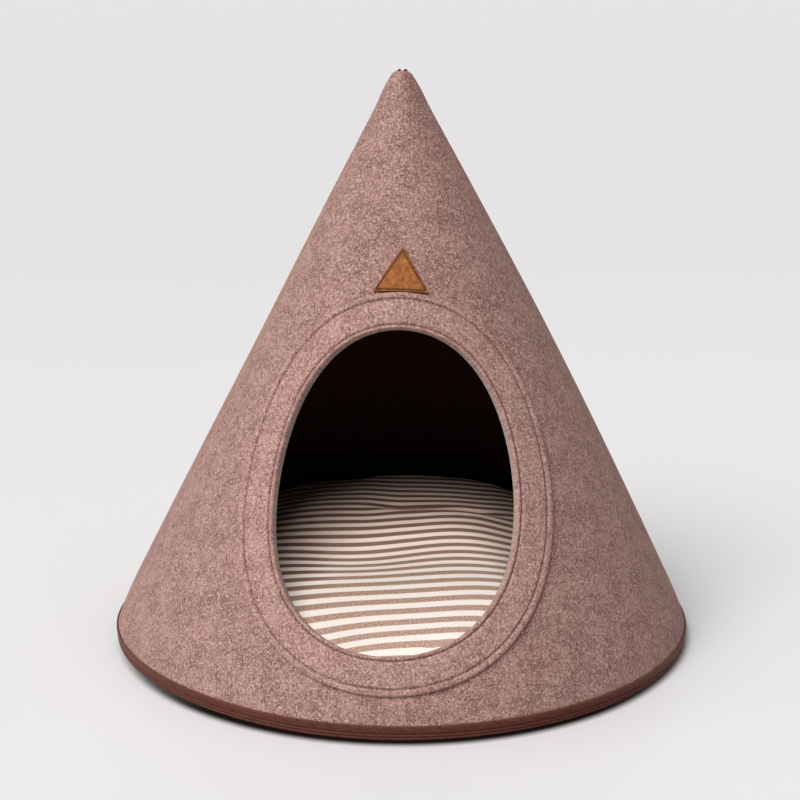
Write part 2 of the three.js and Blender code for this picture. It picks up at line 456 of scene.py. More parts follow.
@dataclass(frozen=True)
class Oval:
    """An egg-shaped outline on the flat felt.

    Attributes:
        shift: Place of its middle to the right of the doorway's line.
        down: Distance of its middle from the apex.
        half_width: Half of its width.
        half_height: Half of its height.
        egg: Share by which it is narrower below than in its middle, or wider where it is negative.
        tilt: Its turn, in degrees.
        fullness: Share by which it goes out at the diagonals.
    """

    shift: float
    down: float
    half_width: float
    half_height: float
    egg: float
    tilt: float
    fullness: float

    def to(self, other: "Oval", share: Array, angle: Array, grow: Array | float = 0.0) -> Array:
        """Flat places on the outline a share of the way to another oval.

        All sizes are blended by share. The point is half width times sine by half height times cosine of
        the angle, narrowed by the egg. It goes out by fullness times the square of sine twice the angle, is
        turned by the tilt and moved to the middle. Angle 0 is the lowest point.

        Args:
            other: The oval at share 1.
            share: Share of the way, as an array.
            angle: Angle round the oval, as an array that fits share.
            grow: Millimetres added to both half sizes.

        Returns:
            Places on the flat felt, with a last axis of 2.
        """
        pairs = zip(astuple(self), astuple(other))
        blended = (first + (second - first) * share for first, second in pairs)
        shift, down, wide, tall, egg, tilt, fullness = blended
        full = 1.0 + fullness * np.sin(2.0 * angle) ** 2
        x = full * (wide + grow) * np.sin(angle) * (1.0 - egg * np.cos(angle))
        y = full * (tall + grow) * np.cos(angle)
        turn = np.radians(tilt)
        across = shift + x * np.cos(turn) - y * np.sin(turn)
        return np.stack([across, down + x * np.sin(turn) + y * np.cos(turn)], axis=-1)


@dataclass(frozen=True)
class Doorway:
    """Where the doorway and its facing lie on the wall."""

    turn: float = math.radians(-2.9)
    hole: Oval = Oval(
        shift=0.7, down=361.2, half_width=97.4, half_height=129.8, egg=-0.057, tilt=0.9, fullness=0.024
    )
    facing: Oval = Oval(
        shift=0.4, down=361.7, half_width=131.6, half_height=160.4, egg=-0.04, tilt=0.6, fullness=0.016
    )


@dataclass(frozen=True)
class Grain:
    """Fineness of a noise: its cells in a unit of its place, its finer layers and how strong those are."""

    cells: float
    detail: float = 2.0
    rough: float = 0.5


@dataclass(frozen=True)
class Gloss:
    """How a finish shines: its roughness, its mirror level and the sheen of its fibres."""

    roughness: float
    mirror: float
    sheen: float = 0.0
    sheen_roughness: float = 0.5


class Graph:
    """Adds and joins the nodes of one shader tree."""

    def __init__(self, tree: bpy.types.NodeTree) -> None:
        """Keeps the tree that the nodes go into."""
        self.tree = tree

    def node(self, kind: str, feeds: dict[str | int, object], **settings: object) -> bpy.types.Node:
        """Adds a node.

        Args:
            kind: Blender's name of the node type.
            feeds: Values or sockets for the node's inputs, by name or number.
            **settings: Properties of the node.

        Returns:
            The node.
        """
        made = self.tree.nodes.new(kind)
        for name, value in settings.items():
            setattr(made, name, value)
        for name, value in feeds.items():
            self.feed(made.inputs[name], value)
        return made

    def feed(self, socket: bpy.types.NodeSocket, value: object) -> None:
        """Links a socket to an input, or sets the input's value.

        Args:
            socket: The input.
            value: A socket, a number, a vector or a colour.
        """
        if isinstance(value, bpy.types.NodeSocket):
            self.tree.links.new(value, socket)
        else:
            socket.default_value = value

    def math(self, operation: str, *values: object) -> bpy.types.NodeSocket:
        """Result of a math node on one to three values."""
        return self.node("ShaderNodeMath", dict(enumerate(values)), operation=operation).outputs[0]

    def vector(self, operation: str, *values: object) -> bpy.types.NodeSocket:
        """Result of a vector math node on two or three vectors."""
        return self.node("ShaderNodeVectorMath", dict(enumerate(values)), operation=operation).outputs[0]

    def noise(self, place: object, grain: Grain, output: str = "Fac") -> bpy.types.NodeSocket:
        """Flat noise at a place, as a value or as a Color."""
        feeds = {"Vector": place, "Scale": grain.cells, "Detail": grain.detail, "Roughness": grain.rough}
        return self.node("ShaderNodeTexNoise", feeds, noise_dimensions="2D").outputs[output]

    def span(self, value: object, low: float, high: float, end: float = 1.0) -> bpy.types.NodeSocket:
        """Soft step of a value from 0 at low to end at high."""
        feeds = {"Value": value, "From Min": low, "From Max": high, "To Max": end}
        return self.node("ShaderNodeMapRange", feeds, interpolation_type="SMOOTHSTEP").outputs[0]

    def mix(self, share: object, first: object, second: object) -> bpy.types.NodeSocket:
        """Colour between two, by a share."""
        return self.node("ShaderNodeMix", {0: share, 6: first, 7: second}, data_type="RGBA").outputs[2]

    def turned(self, place: object, angle: object) -> bpy.types.NodeSocket:
        """A place on the flat cloth, turned by an angle."""
        feeds = {"Vector": place, "Angle": angle}
        return self.node("ShaderNodeVectorRotate", feeds, rotation_type="Z_AXIS").outputs[0]

    def parts(self, place: object) -> list[bpy.types.NodeSocket]:
        """The three measures of a place."""
        return list(self.node("ShaderNodeSeparateXYZ", {0: place}).outputs)

    def group(
        self, tree: bpy.types.NodeTree, feeds: dict[str | int, object]
    ) -> Mapping[str, bpy.types.NodeSocket]:
        """Outputs, by name, of a node group with its inputs fed."""
        return self.node("ShaderNodeGroup", feeds, node_tree=tree).outputs

    def press(self) -> bpy.types.NodeSocket:
        """Burnish, and painted shade in creases and folds, on the surface, from 0 to 1."""
        return self.node("ShaderNodeAttribute", {}, attribute_name=PAINTED_SHADE_AND_BURNISH).outputs["Fac"]

    def cloth(self) -> bpy.types.NodeSocket:
        """Place on the flat cloth, in metres."""
        return self.node("ShaderNodeUVMap", {}, uv_map=CLOTH_MAP).outputs[0]

    def bump(self, height: object, depth: float, strength: float) -> bpy.types.NodeSocket:
        """Normal roughened by a height, with depth in millimetres."""
        feeds = {"Height": height, "Distance": depth * MM, "Strength": strength}
        return self.node("ShaderNodeBump", feeds).outputs[0]


def new_group(name: str, inputs: dict[str, str], outputs: Sequence[str]) -> tuple[Graph, object, object]:
    """Starts a shader node group.

    Args:
        name: Name of the group.
        inputs: Socket types by socket name.
        outputs: Names of the outputs, each a value.

    Returns:
        The group's graph, its input node and its output node.
    """
    tree = bpy.data.node_groups.new(name, "ShaderNodeTree")
    for label, kind in inputs.items():
        tree.interface.new_socket(label, in_out="INPUT", socket_type=kind)
    for label in outputs:
        tree.interface.new_socket(label, in_out="OUTPUT", socket_type="NodeSocketFloat")
    return Graph(tree), tree.nodes.new("NodeGroupInput"), tree.nodes.new("NodeGroupOutput")


def new_finish(name: str, gloss: Gloss) -> tuple[bpy.types.Material, Graph, bpy.types.Node]:
    """Starts a material with its Principled shader.

    Args:
        name: Name of the material.
        gloss: How it shines.

    Returns:
        The material, its graph and the shader node.
    """
    material = bpy.data.materials.new(name)
    material.use_nodes = True
    principled = material.node_tree.nodes["Principled BSDF"]
    labels = ("Roughness", "Specular IOR Level", "Sheen Weight", "Sheen Roughness")
    for label, value in zip(labels, astuple(gloss)):
        principled.inputs[label].default_value = value
    return material, Graph(material.node_tree), principled


class FibreGroup:
    """Node group of pressed wool: crossing fibres, flecks and soft clouds of tone."""

    NAME = "wool_fibres"
    DIRECTIONS = (0.3, 1.25, 2.2, 2.85)
    STRETCH = (1.0, 0.2, 1.0)
    FIBRES = Grain(1250.0, 2.5, 0.6)
    BENDS = Grain(240.0)
    CURL = 0.0025
    FLECKS = Grain(520.0, 2.0, 0.6)
    FLECK_SHARE = 0.3
    WIDE_CLOUDS = Grain(48.0, 3.0, 0.6)
    SMALL_CLOUDS = Grain(170.0)
    PALE_SPAN = (0.505, 0.585)
    DARK_SPAN = (0.49, 0.41)

    @classmethod
    def tree(cls) -> bpy.types.NodeTree:
        """The group, made at its first use.

        Each layer is noise on the flat cloth, turned, squeezed along one way and bent by a wider noise, so
        that it looks like curled fibres. Tone is the layers' mean with some flecks. Pale and Dark are where
        it is high and low, and Cloud is the mean of two wider noises, for the felt's uneven ground.

        Returns:
            The node tree, with the outputs Pale, Dark, Cloud and Height.
        """
        if cls.NAME in bpy.data.node_groups:
            return bpy.data.node_groups[cls.NAME]
        outputs = ("Pale", "Dark", "Cloud", "Height")
        graph, start, end = new_group(cls.NAME, {"Place": "NodeSocketVector"}, outputs)
        place = start.outputs["Place"]
        shift = graph.vector("SUBTRACT", graph.noise(place, cls.BENDS, "Color"), (0.5, 0.5, 0.5))
        curled = graph.vector("MULTIPLY_ADD", shift, (cls.CURL,) * 3, place)
        mean: object = 0.0
        for angle in cls.DIRECTIONS:
            stretched = graph.vector("MULTIPLY", graph.turned(curled, angle), cls.STRETCH)
            layer = graph.noise(stretched, cls.FIBRES)
            mean = graph.math("MULTIPLY_ADD", layer, 1.0 / len(cls.DIRECTIONS), mean)
        fibres = graph.math("MULTIPLY", mean, 1.0 - cls.FLECK_SHARE)
        tone = graph.math("MULTIPLY_ADD", graph.noise(place, cls.FLECKS), cls.FLECK_SHARE, fibres)
        wide = graph.math("MULTIPLY", graph.noise(place, cls.WIDE_CLOUDS), 0.5)
        cloud = graph.math("MULTIPLY_ADD", graph.noise(place, cls.SMALL_CLOUDS), 0.5, wide)
        parts = {
            "Pale": graph.span(tone, *cls.PALE_SPAN),
            "Dark": graph.span(tone, *cls.DARK_SPAN),
            "Cloud": cloud,
            "Height": tone,
        }
        for label, value in parts.items():
            graph.feed(end.inputs[label], value)
        return graph.tree


class WeaveGroup:
    """Node group of woven threads: ribs that lean across a strip, with uneven yarn."""

    NAME = "woven_threads"
    YARN = Grain(1.3, 2.0, 0.6)
    YARN_STRETCH = (0.15, 1.0, 1.0)

    @classmethod
    def tree(cls) -> bpy.types.NodeTree:
        """The group, made at its first use.

        The place is turned by the lean and scaled to one unit a thread. Height is a half plus half the
        product of the warp's and the weft's sines, and Yarn is a noise that is long along the threads.

        Returns:
            The node tree, with the inputs Place, Pitch and Lean and the outputs Height and Yarn.
        """
        if cls.NAME in bpy.data.node_groups:
            return bpy.data.node_groups[cls.NAME]
        inputs = {"Place": "NodeSocketVector", "Pitch": "NodeSocketFloat", "Lean": "NodeSocketFloat"}
        graph, start, end = new_group(cls.NAME, inputs, ("Height", "Yarn"))
        turned = graph.turned(start.outputs["Place"], start.outputs["Lean"])
        feeds = {0: turned, "Scale": start.outputs["Pitch"]}
        threads = graph.node("ShaderNodeVectorMath", feeds, operation="SCALE").outputs[0]
        across, along, _ = graph.parts(threads)
        warp = graph.math("SINE", graph.math("MULTIPLY", across, FULL_TURN))
        weft = graph.math("SINE", graph.math("MULTIPLY", along, FULL_TURN))
        height = graph.math("MULTIPLY_ADD", graph.math("MULTIPLY", warp, weft), 0.5, 0.5)
        long_yarn = graph.vector("MULTIPLY", threads, cls.YARN_STRETCH)
        graph.feed(end.inputs["Height"], height)
        graph.feed(end.inputs["Yarn"], graph.noise(long_yarn, cls.YARN))
        return graph.tree


@dataclass(frozen=True)
class FeltFinish:
    """Pressed wool felt of a ground colour with pale and dark fibres in it."""

    name: str
    ground: str
    shade: str
    pale: str
    dark: str
    # Colour of painted shade in the creases, or None for none.
    crease: str | None = None
    cloud_span: Span = (0.32, 0.68)
    pale_share: float = 0.68
    dark_share: float = 0.72
    relief: float = 1.6
    relief_strength: float = 0.7
    gloss: Gloss = Gloss(0.95, 0.15, 0.2, 0.55)

    def material(self) -> bpy.types.Material:
        """Material whose ground clouds between shade and ground, under fibres, with painted shade in its
        creases.

        Returns:
            The material.
        """
        material, graph, shader = new_finish(self.name, self.gloss)
        fibres = graph.group(FibreGroup.tree(), {"Place": graph.cloth()})
        cloud = graph.span(fibres["Cloud"], *self.cloud_span)
        ground = graph.mix(cloud, linear(self.shade), linear(self.ground))
        dark = graph.math("MULTIPLY", fibres["Dark"], self.dark_share)
        pale = graph.math("MULTIPLY", fibres["Pale"], self.pale_share)
        colour = graph.mix(pale, graph.mix(dark, ground, linear(self.dark)), linear(self.pale))
        # Painted shade in the creases, where the mesh marks them.
        if self.crease:
            colour = graph.mix(graph.press(), colour, linear(self.crease))
        graph.feed(shader.inputs["Base Color"], colour)
        graph.feed(shader.inputs["Sheen Tint"], linear(self.pale))
        graph.feed(shader.inputs["Normal"], graph.bump(fibres["Height"], self.relief, self.relief_strength))
        return material


@dataclass(frozen=True)
class TapeFinish:
    """Woven brown tape or thread, with leaning ribs."""

    name: str
    ground: str
    rib: str
    threads_a_metre: float
    lean: float
    relief: float = 0.25
    relief_strength: float = 0.6
    yarn_span: Span = (0.2, 0.7)
    gloss: Gloss = Gloss(0.72, 0.3, 0.08, 0.4)

    def material(self) -> bpy.types.Material:
        """Material that goes from rib to ground over each thread, dulled by uneven yarn.

        Returns:
            The material.
        """
        material, graph, shader = new_finish(self.name, self.gloss)
        feeds = {"Place": graph.cloth(), "Pitch": self.threads_a_metre, "Lean": self.lean}
        weave = graph.group(WeaveGroup.tree(), feeds)
        share = graph.math("MULTIPLY", weave["Height"], graph.span(weave["Yarn"], *self.yarn_span))
        graph.feed(shader.inputs["Base Color"], graph.mix(share, linear(self.rib), linear(self.ground)))
        graph.feed(shader.inputs["Normal"], graph.bump(weave["Height"], self.relief, self.relief_strength))
        return material


@dataclass(frozen=True)
class StripedClothFinish:
    """Woven cotton with straight stripes, cream and a flecked taupe, both with painted shade towards the
    back.

    Attributes:
        pitch: Millimetres from stripe to stripe.
        light_share: The cream's share of the pitch.
        edge: Share of the pitch over which the stripes blend.
        back_span: Where along the cloth, in metres, the taupe goes into painted shade.
        left_span: Where across the cloth it goes into painted shade at the left.
        left_back_span: Where along the cloth that begins.
        cream_span: Where along the cloth the cream goes to its warmer painted shade.
        yarn_blur: How far, in metres, the yarn makes that uneven.
    """

    name: str = "striped_cotton"
    cream: str = "d8cdc5"
    # The cream in its warmer painted shade.
    cream_in_painted_shade: str = "e6c8b8"
    taupe: str = "b89a8a"
    taupe_dark: str = "836654"
    # The taupe in painted shade, towards the back, at the left and in the tuck's fold.
    taupe_in_painted_shade: str = "624736"
    pitch: float = 15.5
    light_share: float = 0.5
    edge: float = 0.05
    threads_a_metre: float = 900.0
    flecks: Grain = Grain(620.0, 3.0, 0.65)
    fleck_span: Span = (0.3, 0.68)
    back_span: Span = (0.0, 0.3)
    left_span: Span = (-0.03, -0.085)
    left_back_span: Span = (0.03, 0.14)
    cream_span: Span = (0.05, 0.3)
    yarn_blur: float = 0.06
    relief: float = 0.25
    relief_strength: float = 0.35
    gloss: Gloss = Gloss(0.9, 0.2, 0.08, 0.5)

    def material(self) -> bpy.types.Material:
        """Material with a cream stripe about each whole number of pitches along, and taupe between.

        Returns:
            The material.
        """
        material, graph, shader = new_finish(self.name, self.gloss)
        place = graph.cloth()
        across, along, _ = graph.parts(place)
        count = graph.math("MULTIPLY", along, 1.0 / (self.pitch * MM))
        away = graph.math("ABSOLUTE", graph.math("SUBTRACT", count, graph.math("ROUND", count)))
        half = 0.5 * self.light_share
        stripe = graph.span(away, half - 0.5 * self.edge, half + 0.5 * self.edge)
        weave = graph.group(WeaveGroup.tree(), {"Place": place, "Pitch": self.threads_a_metre, "Lean": 0.0})
        fleck = graph.span(graph.noise(place, self.flecks), *self.fleck_span)
        flecked = graph.mix(fleck, linear(self.taupe_dark), linear(self.taupe))
        # Painted shade: the taupe darkens towards the back and at the left, and the cream warms towards the
        # back.
        left = graph.span(across, *self.left_span)
        left = graph.math("MULTIPLY", left, graph.span(along, *self.left_back_span))
        painted_shade = graph.math("MAXIMUM", graph.span(along, *self.back_span), left)
        taupe = graph.mix(painted_shade, flecked, linear(self.taupe_in_painted_shade))
        even = graph.math("SUBTRACT", along, 0.5 * self.yarn_blur)
        uneven = graph.math("MULTIPLY_ADD", weave["Yarn"], self.yarn_blur, even)
        cream = graph.mix(graph.span(uneven, *self.cream_span), linear(self.cream), linear(self.cream_in_painted_shade))
        striped = graph.mix(stripe, cream, taupe)
        # Painted shade in the tuck's fold.
        folded = graph.mix(graph.press(), striped, linear(self.taupe_in_painted_shade))
        graph.feed(shader.inputs["Base Color"], folded)
        graph.feed(shader.inputs["Normal"], graph.bump(weave["Height"], self.relief, self.relief_strength))
        return material


@dataclass(frozen=True)
class LeatherFinish:
    """Tan leather with a fine grain, burnished along its border."""

    name: str = "tan_leather"
    tan: str = "ae692b"
    deep: str = "8a4b18"
    burnish: str = "40200f"
    clouds: Grain = Grain(190.0, 4.0, 0.7)
    tan_span: Span = (0.3, 0.7)
    dull_span: Span = (0.8, 0.2)
    grain_a_metre: float = 1500.0
    relief: float = 0.4
    relief_strength: float = 0.6
    gloss: Gloss = Gloss(0.62, 0.25)

    def material(self) -> bpy.types.Material:
        """Material that clouds between two tans, is duller where it is deep and has a pebbled grain.

        Returns:
            The material.
        """
        material, graph, shader = new_finish(self.name, self.gloss)
        place = graph.cloth()
        cloud = graph.noise(place, self.clouds)
        tone = graph.mix(graph.span(cloud, *self.tan_span), linear(self.deep), linear(self.tan))
        graph.feed(shader.inputs["Base Color"], graph.mix(graph.press(), tone, linear(self.burnish)))
        feeds = {"Vector": place, "Scale": self.grain_a_metre}
        cells = graph.node("ShaderNodeTexVoronoi", feeds, voronoi_dimensions="2D").outputs["Distance"]
        graph.feed(shader.inputs["Roughness"], graph.span(cloud, *self.dull_span, self.gloss.roughness))
        graph.feed(shader.inputs["Normal"], graph.bump(cells, self.relief, self.relief_strength))
        return material


@dataclass(frozen=True)
class FloorFinish:
    """Pale, slightly glossy studio floor, with painted shade behind the bed and a painted shadow close to the
    bed's foot.

    Attributes:
        bounce: Colour of the light that it throws back on to the bed.
        sweep_span: Where behind the bed, in metres, the paper goes from pale to its painted shade.
        front_span: Where the painted contact shadow at the foot ends and is full, in bed radii behind the
            middle.
        contact_core: How far from the foot that painted shadow stays full.
        contact_reach: How far from the foot it ends.
        side_draw: How much nearer it ends at the sides.
        shadow_reach: How far from the foot the faint painted shadow ends.
        shadow_inside: How far under the bed it is full, as a share of that.
        shadow_depth: How strong it is.
        shadow_drifts: How far to the right the painted contact shadow and the faint painted shadow lie.
    """

    name: str = "studio_floor"
    pale: str = "f1f0f0"
    # The paper's painted shade far behind the bed.
    shade: str = "e7e5e6"
    # Colour of the painted contact shadow at the bed's foot.
    painted_contact_shadow: str = "120d0d"
    bounce: str = "acaaaa"
    clouds: Grain = Grain(0.8)
    cloud_share: float = 0.15
    sweep_span: Span = (-0.6, 2.5)
    bed_radius: float = 250.0
    front_span: Span = (0.2, -0.8)
    contact_core: float = 0.8
    contact_reach: float = 12.2
    side_draw: float = 8.5
    shadow_reach: float = 70.0
    shadow_inside: float = 0.2
    shadow_depth: float = 0.05
    shadow_drifts: Span = (0.5, 14.0)
    gloss: Gloss = Gloss(0.42, 0.25)

    @staticmethod
    def reach(graph: Graph, place: bpy.types.NodeSocket, drift: float) -> bpy.types.NodeSocket:
        """Distance on the floor from a middle that lies drift millimetres to the right of the bed's own."""
        moved = graph.vector("SUBTRACT", place, (drift * MM, 0.0, 0.0))
        return graph.node("ShaderNodeVectorMath", {0: moved}, operation="LENGTH").outputs["Value"]

    def material(self) -> bpy.types.Material:
        """Material with painted shade that dims it with the distance behind the bed, as light falls off over
        a paper sweep, and a painted shadow around its foot.

        Returns:
            The material.
        """
        material, graph, shader = new_finish(self.name, self.gloss)
        place = graph.node("ShaderNodeTexCoord", {}).outputs["Object"]
        across, away, _ = graph.parts(place)
        # Painted shade: the paper dims from pale to shade with the distance behind the bed.
        behind = graph.span(away, *self.sweep_span)
        far = graph.math("MULTIPLY_ADD", graph.noise(place, self.clouds), self.cloud_share, behind)
        paper = graph.mix(far, linear(self.pale), linear(self.shade))
        edge = self.bed_radius * MM
        front = graph.span(away, *(share * edge for share in self.front_span))
        close, wide = (self.reach(graph, place, drift) for drift in self.shadow_drifts)
        sideways = graph.math("POWER", graph.math("ABSOLUTE", graph.math("DIVIDE", across, close)), 2.0)
        drawn = graph.math("MULTIPLY_ADD", sideways, self.side_draw * MM, close)
        # near and around mask the painted shadow: a dark line at the foot, strongest in front, and a faint
        # wider shadow.
        near = graph.span(drawn, edge + self.contact_reach * MM, edge + self.contact_core * MM)
        outside = edge + self.shadow_reach * MM
        inside = edge - self.shadow_inside * self.shadow_reach * MM
        around = graph.span(wide, outside, inside, self.shadow_depth)
        painted_contact_shadow = graph.math("MAXIMUM", graph.math("MULTIPLY", near, front), around)
        seen = graph.mix(painted_contact_shadow, paper, linear(self.painted_contact_shadow))
        bounced = graph.node("ShaderNodeLightPath", {}).outputs["Is Diffuse Ray"]
        graph.feed(shader.inputs["Base Color"], graph.mix(bounced, seen, linear(self.bounce)))
        return material


@dataclass(frozen=True)
class Stitch:
    """Thread sewn in a row of stitches, each a small arched tube.

    Attributes:
        pitch: Distance from stitch to stitch.
        length: Length of one stitch.
        thickness: Thickness of the thread.
        sink: How deep a stitch's ends lie below the path.
        arch: Rise of its middle, as a share of the thickness.
        glance: Distance each way along the path that gives a stitch its direction.
        rings: Number of sections along a stitch.
        corners: Number of points round a section, with the first met again.
    """

    pitch: float
    length: float
    thickness: float
    sink: float
    arch: float = 0.35
    glance: float = 0.5
    rings: int = 7
    corners: int = 7

    def row(self, path: Array, lifted: Array) -> Surface:
        """Stitches along a closed or open path.

        A stitch is a tube along the path: its middle line rises with one less the square of the way along,
        and its thickness follows the root of one less the fourth power, so both ends close to a point.

        Args:
            path: Points of the path, close together.
            lifted: The same points one millimetre further off the felt.

        Returns:
            One surface of all the stitches.
        """
        run = running(np.linalg.norm(np.diff(path, axis=0), axis=1))
        count = int(round(run[-1] / self.pitch))
        middles = (np.arange(count) + 0.5) * run[-1] / count

        def at(where: Array, source: Array) -> Array:
            """Points of a path at distances along it."""
            return np.stack([np.interp(where, run, source[:, axis]) for axis in range(3)], axis=-1)

        centre = at(middles, path)
        before = at(np.maximum(middles - self.glance, 0.0), path)
        ahead = unit(at(np.minimum(middles + self.glance, run[-1]), path) - before)
        off = unit(at(middles, lifted) - centre)
        side = np.cross(ahead, off)
        way = np.linspace(-1.0, 1.0, self.rings)
        turn = np.linspace(0.0, FULL_TURN, self.corners)
        taper = 0.5 * self.thickness * np.sqrt(np.maximum(0.0, 1.0 - way**4))
        rise = (self.arch * self.thickness + self.sink) * (1.0 - way**2) - self.sink
        grid = (
            centre[:, None, None]
            + ahead[:, None, None] * (0.5 * self.length * way)[None, :, None, None]
            + off[:, None, None] * (rise[:, None] + taper[:, None] * np.cos(turn))[None, :, :, None]
            + side[:, None, None] * (taper[:, None] * np.sin(turn))[None, :, :, None]
        )
        along = middles[:, None, None] + 0.5 * self.length * way[None, :, None]
        cloth = np.stack(np.broadcast_arrays(along, 0.5 * self.thickness * turn), axis=-1)
        rows = grid.reshape(-1, self.corners, 3)
        keep = np.ones((len(rows) - 1, self.corners - 1), bool)
        keep[self.rings - 1 :: self.rings] = False
        return Surface.from_grid(rows, cloth.reshape(-1, self.corners, 2), keep=keep).welded()


@dataclass
class FeltWall:
    """The rolled felt wall with the doorway cut through it, sewn to itself down the back."""

    form: ConeForm
    doorway: Doorway
    thickness: float = 4.0
    foot_rows: tuple[float, ...] = (4.3, 6.0, 8.0, 10.2, 12.2, 13.4, 15.0)
    window_low: float = 18.0
    window_high: float = 342.0
    window_rows: int = 66
    upper_rows: int = 30
    tip_height: float = 484.6
    tip_rounding: float = 8.0
    tip_rows: int = 8
    tip_cap_rows: int = 4
    tip_cloth: float = 0.4
    pole_cloth: float = 0.5
    even_turn: float = 172.5
    even_columns: int = 185
    window_columns: tuple[int, int] = (59, 122)
    seam_offsets: tuple[float, ...] = (16.0, 11.0, 7.0, 4.5, 3.0, 2.0, 1.2, 0.6, 0.0)
    seam_room: float = 0.9
    seam_depth: float = 1.1
    seam_width: float = 1.5
    seam_fade: Span = (6.0, 40.0)
    seam_stitch: Stitch = Stitch(pitch=4.0, length=3.2, thickness=0.55, sink=0.2)
    seam_stitch_offset: float = 5.0
    seam_stitch_start: float = 6.0
    seam_stitch_end: float = 0.9
    seam_path_points: int = 400
    edge_round: float = 0.8
    edge_rows: int = 5
    ring_rows: int = 26
    ring_crowding: float = 1.2

    def heights(self) -> Array:
        """Heights of the wall's rows, from the foot to the start of the rounded tip.

        Returns:
            Millimetres above the ground, rising.
        """
        window = np.linspace(self.window_low, self.window_high, self.window_rows)
        tip_start = self.tip_height - self.tip_rounding * (1.0 - math.sin(self.form.slope))
        upper = np.linspace(self.window_high, tip_start, self.upper_rows + 1)[1:]
        return np.concatenate([self.foot_rows, window, upper])

    def even_sweeps(self) -> Array:
        """Turns of the even columns, which leave out only the back seam."""
        return np.radians(np.linspace(-self.even_turn, self.even_turn, self.even_columns))

    def sweeps(self, z: Array) -> Array:
        """Turns of each row's columns: even steps round the front, then set distances beside the seam.

        Args:
            z: Heights of the rows.

        Returns:
            Radians from the doorway's side, rows by columns.
        """
        even = self.even_sweeps()
        beside = np.array(self.seam_offsets)
        widest = self.seam_room * (math.pi - even[-1]) * beside / beside.max()
        right = math.pi - np.minimum(beside / self.form.radius(z)[:, None], widest)
        return np.concatenate([-right[:, ::-1], np.broadcast_to(even, (len(z), len(even))), right], axis=1)

    def seam_groove(self, sweep: Array, z: Array) -> Array:
        """Lift of the outer face at the back seam: minus a bell of the distance from the seam line.

        Args:
            sweep: Radians from the doorway's side.
            z: Height above the ground.

        Returns:
            Millimetres, 0 away from the seam.
        """
        radius = self.form.radius(z)
        away = (math.pi - np.abs(sweep)) * radius
        held = smooth(radius, *self.seam_fade) * smooth(z, self.form.binding_height, self.window_low)
        return -self.seam_depth * bell(away, self.seam_width) * held

    def round_wall(self) -> Surface:
        """All but the window round the doorway, as one grid from the tip's inside to its outside.

        Returns:
            Inside, outside and tip, open at the window.
        """
        z = self.heights()
        sweep = self.sweeps(z)
        rows, columns = sweep.shape
        tall = z[:, None]
        level = self.thickness * math.sin(self.form.slope)
        level = level * smooth(-tall, -self.window_low, -self.foot_rows[0])
        outer = self.form.place(sweep, tall, self.seam_groove(sweep, tall))
        inner = self.form.place(sweep, tall + level, -self.thickness)[::-1]
        tip_turn = np.linspace(self.form.slope, 0.5 * math.pi, self.tip_rows)[1:, None]
        tip_base = self.form.radius(z[-1]) - self.tip_rounding * math.cos(self.form.slope)
        tip_radius = tip_base + self.tip_rounding * np.cos(tip_turn)
        tip_height = self.tip_height - self.tip_rounding + self.tip_rounding * np.sin(tip_turn)
        rounding = self.form.ring(sweep[-1], tip_radius, tip_height)
        closing = np.linspace(1.0, 0.0, self.tip_cap_rows)[1:, None]
        cap = self.form.ring(sweep[-1], tip_base * closing, np.full_like(closing, self.tip_height))
        pole = self.form.ring(sweep[-1], np.zeros((1, 1)), inner[:1, :1, 2])
        points = np.concatenate([pole, inner, outer, rounding, cap])
        flat = self.form.unroll(sweep, tall, self.doorway.turn)
        beyond = flat[-1:] * np.linspace(1.0, self.tip_cloth, len(rounding) + len(cap) + 1)[1:, None, None]
        cloth = np.concatenate([flat[-1:] * self.pole_cloth, flat[::-1], flat, beyond])
        left = len(self.seam_offsets) + self.window_columns[0]
        right = len(self.seam_offsets) + self.window_columns[1]
        first = len(self.foot_rows)
        last = first + self.window_rows - 1
        keep = np.ones((len(points) - 1, columns - 1), bool)
        keep[1 + rows + first : 1 + rows + last, left:right] = False
        keep[rows - last : rows - first, left:right] = False
        finish = np.where(np.arange(len(points) - 1) < rows, WallFace.INSIDE.value, WallFace.OUTSIDE.value)
        return Surface.from_grid(points, cloth, finish, keep)

    def window_edge(self) -> tuple[Array, Array]:
        """Turns and heights of the window's border, from its lower left corner to the right and round.

        Returns:
            Turns and heights, with the first point met again at the end.
        """
        z = self.heights()[len(self.foot_rows) : len(self.foot_rows) + self.window_rows]
        turns = self.even_sweeps()[self.window_columns[0] : self.window_columns[1] + 1]
        sweep = np.concatenate(
            [turns, np.full(len(z) - 2, turns[-1]), turns[::-1], np.full(len(z) - 1, turns[0])]
        )
        tall = np.concatenate(
            [np.full(len(turns), z[0]), z[1:-1], np.full(len(turns), z[-1]), z[::-1][1:]]
        )
        return sweep, tall

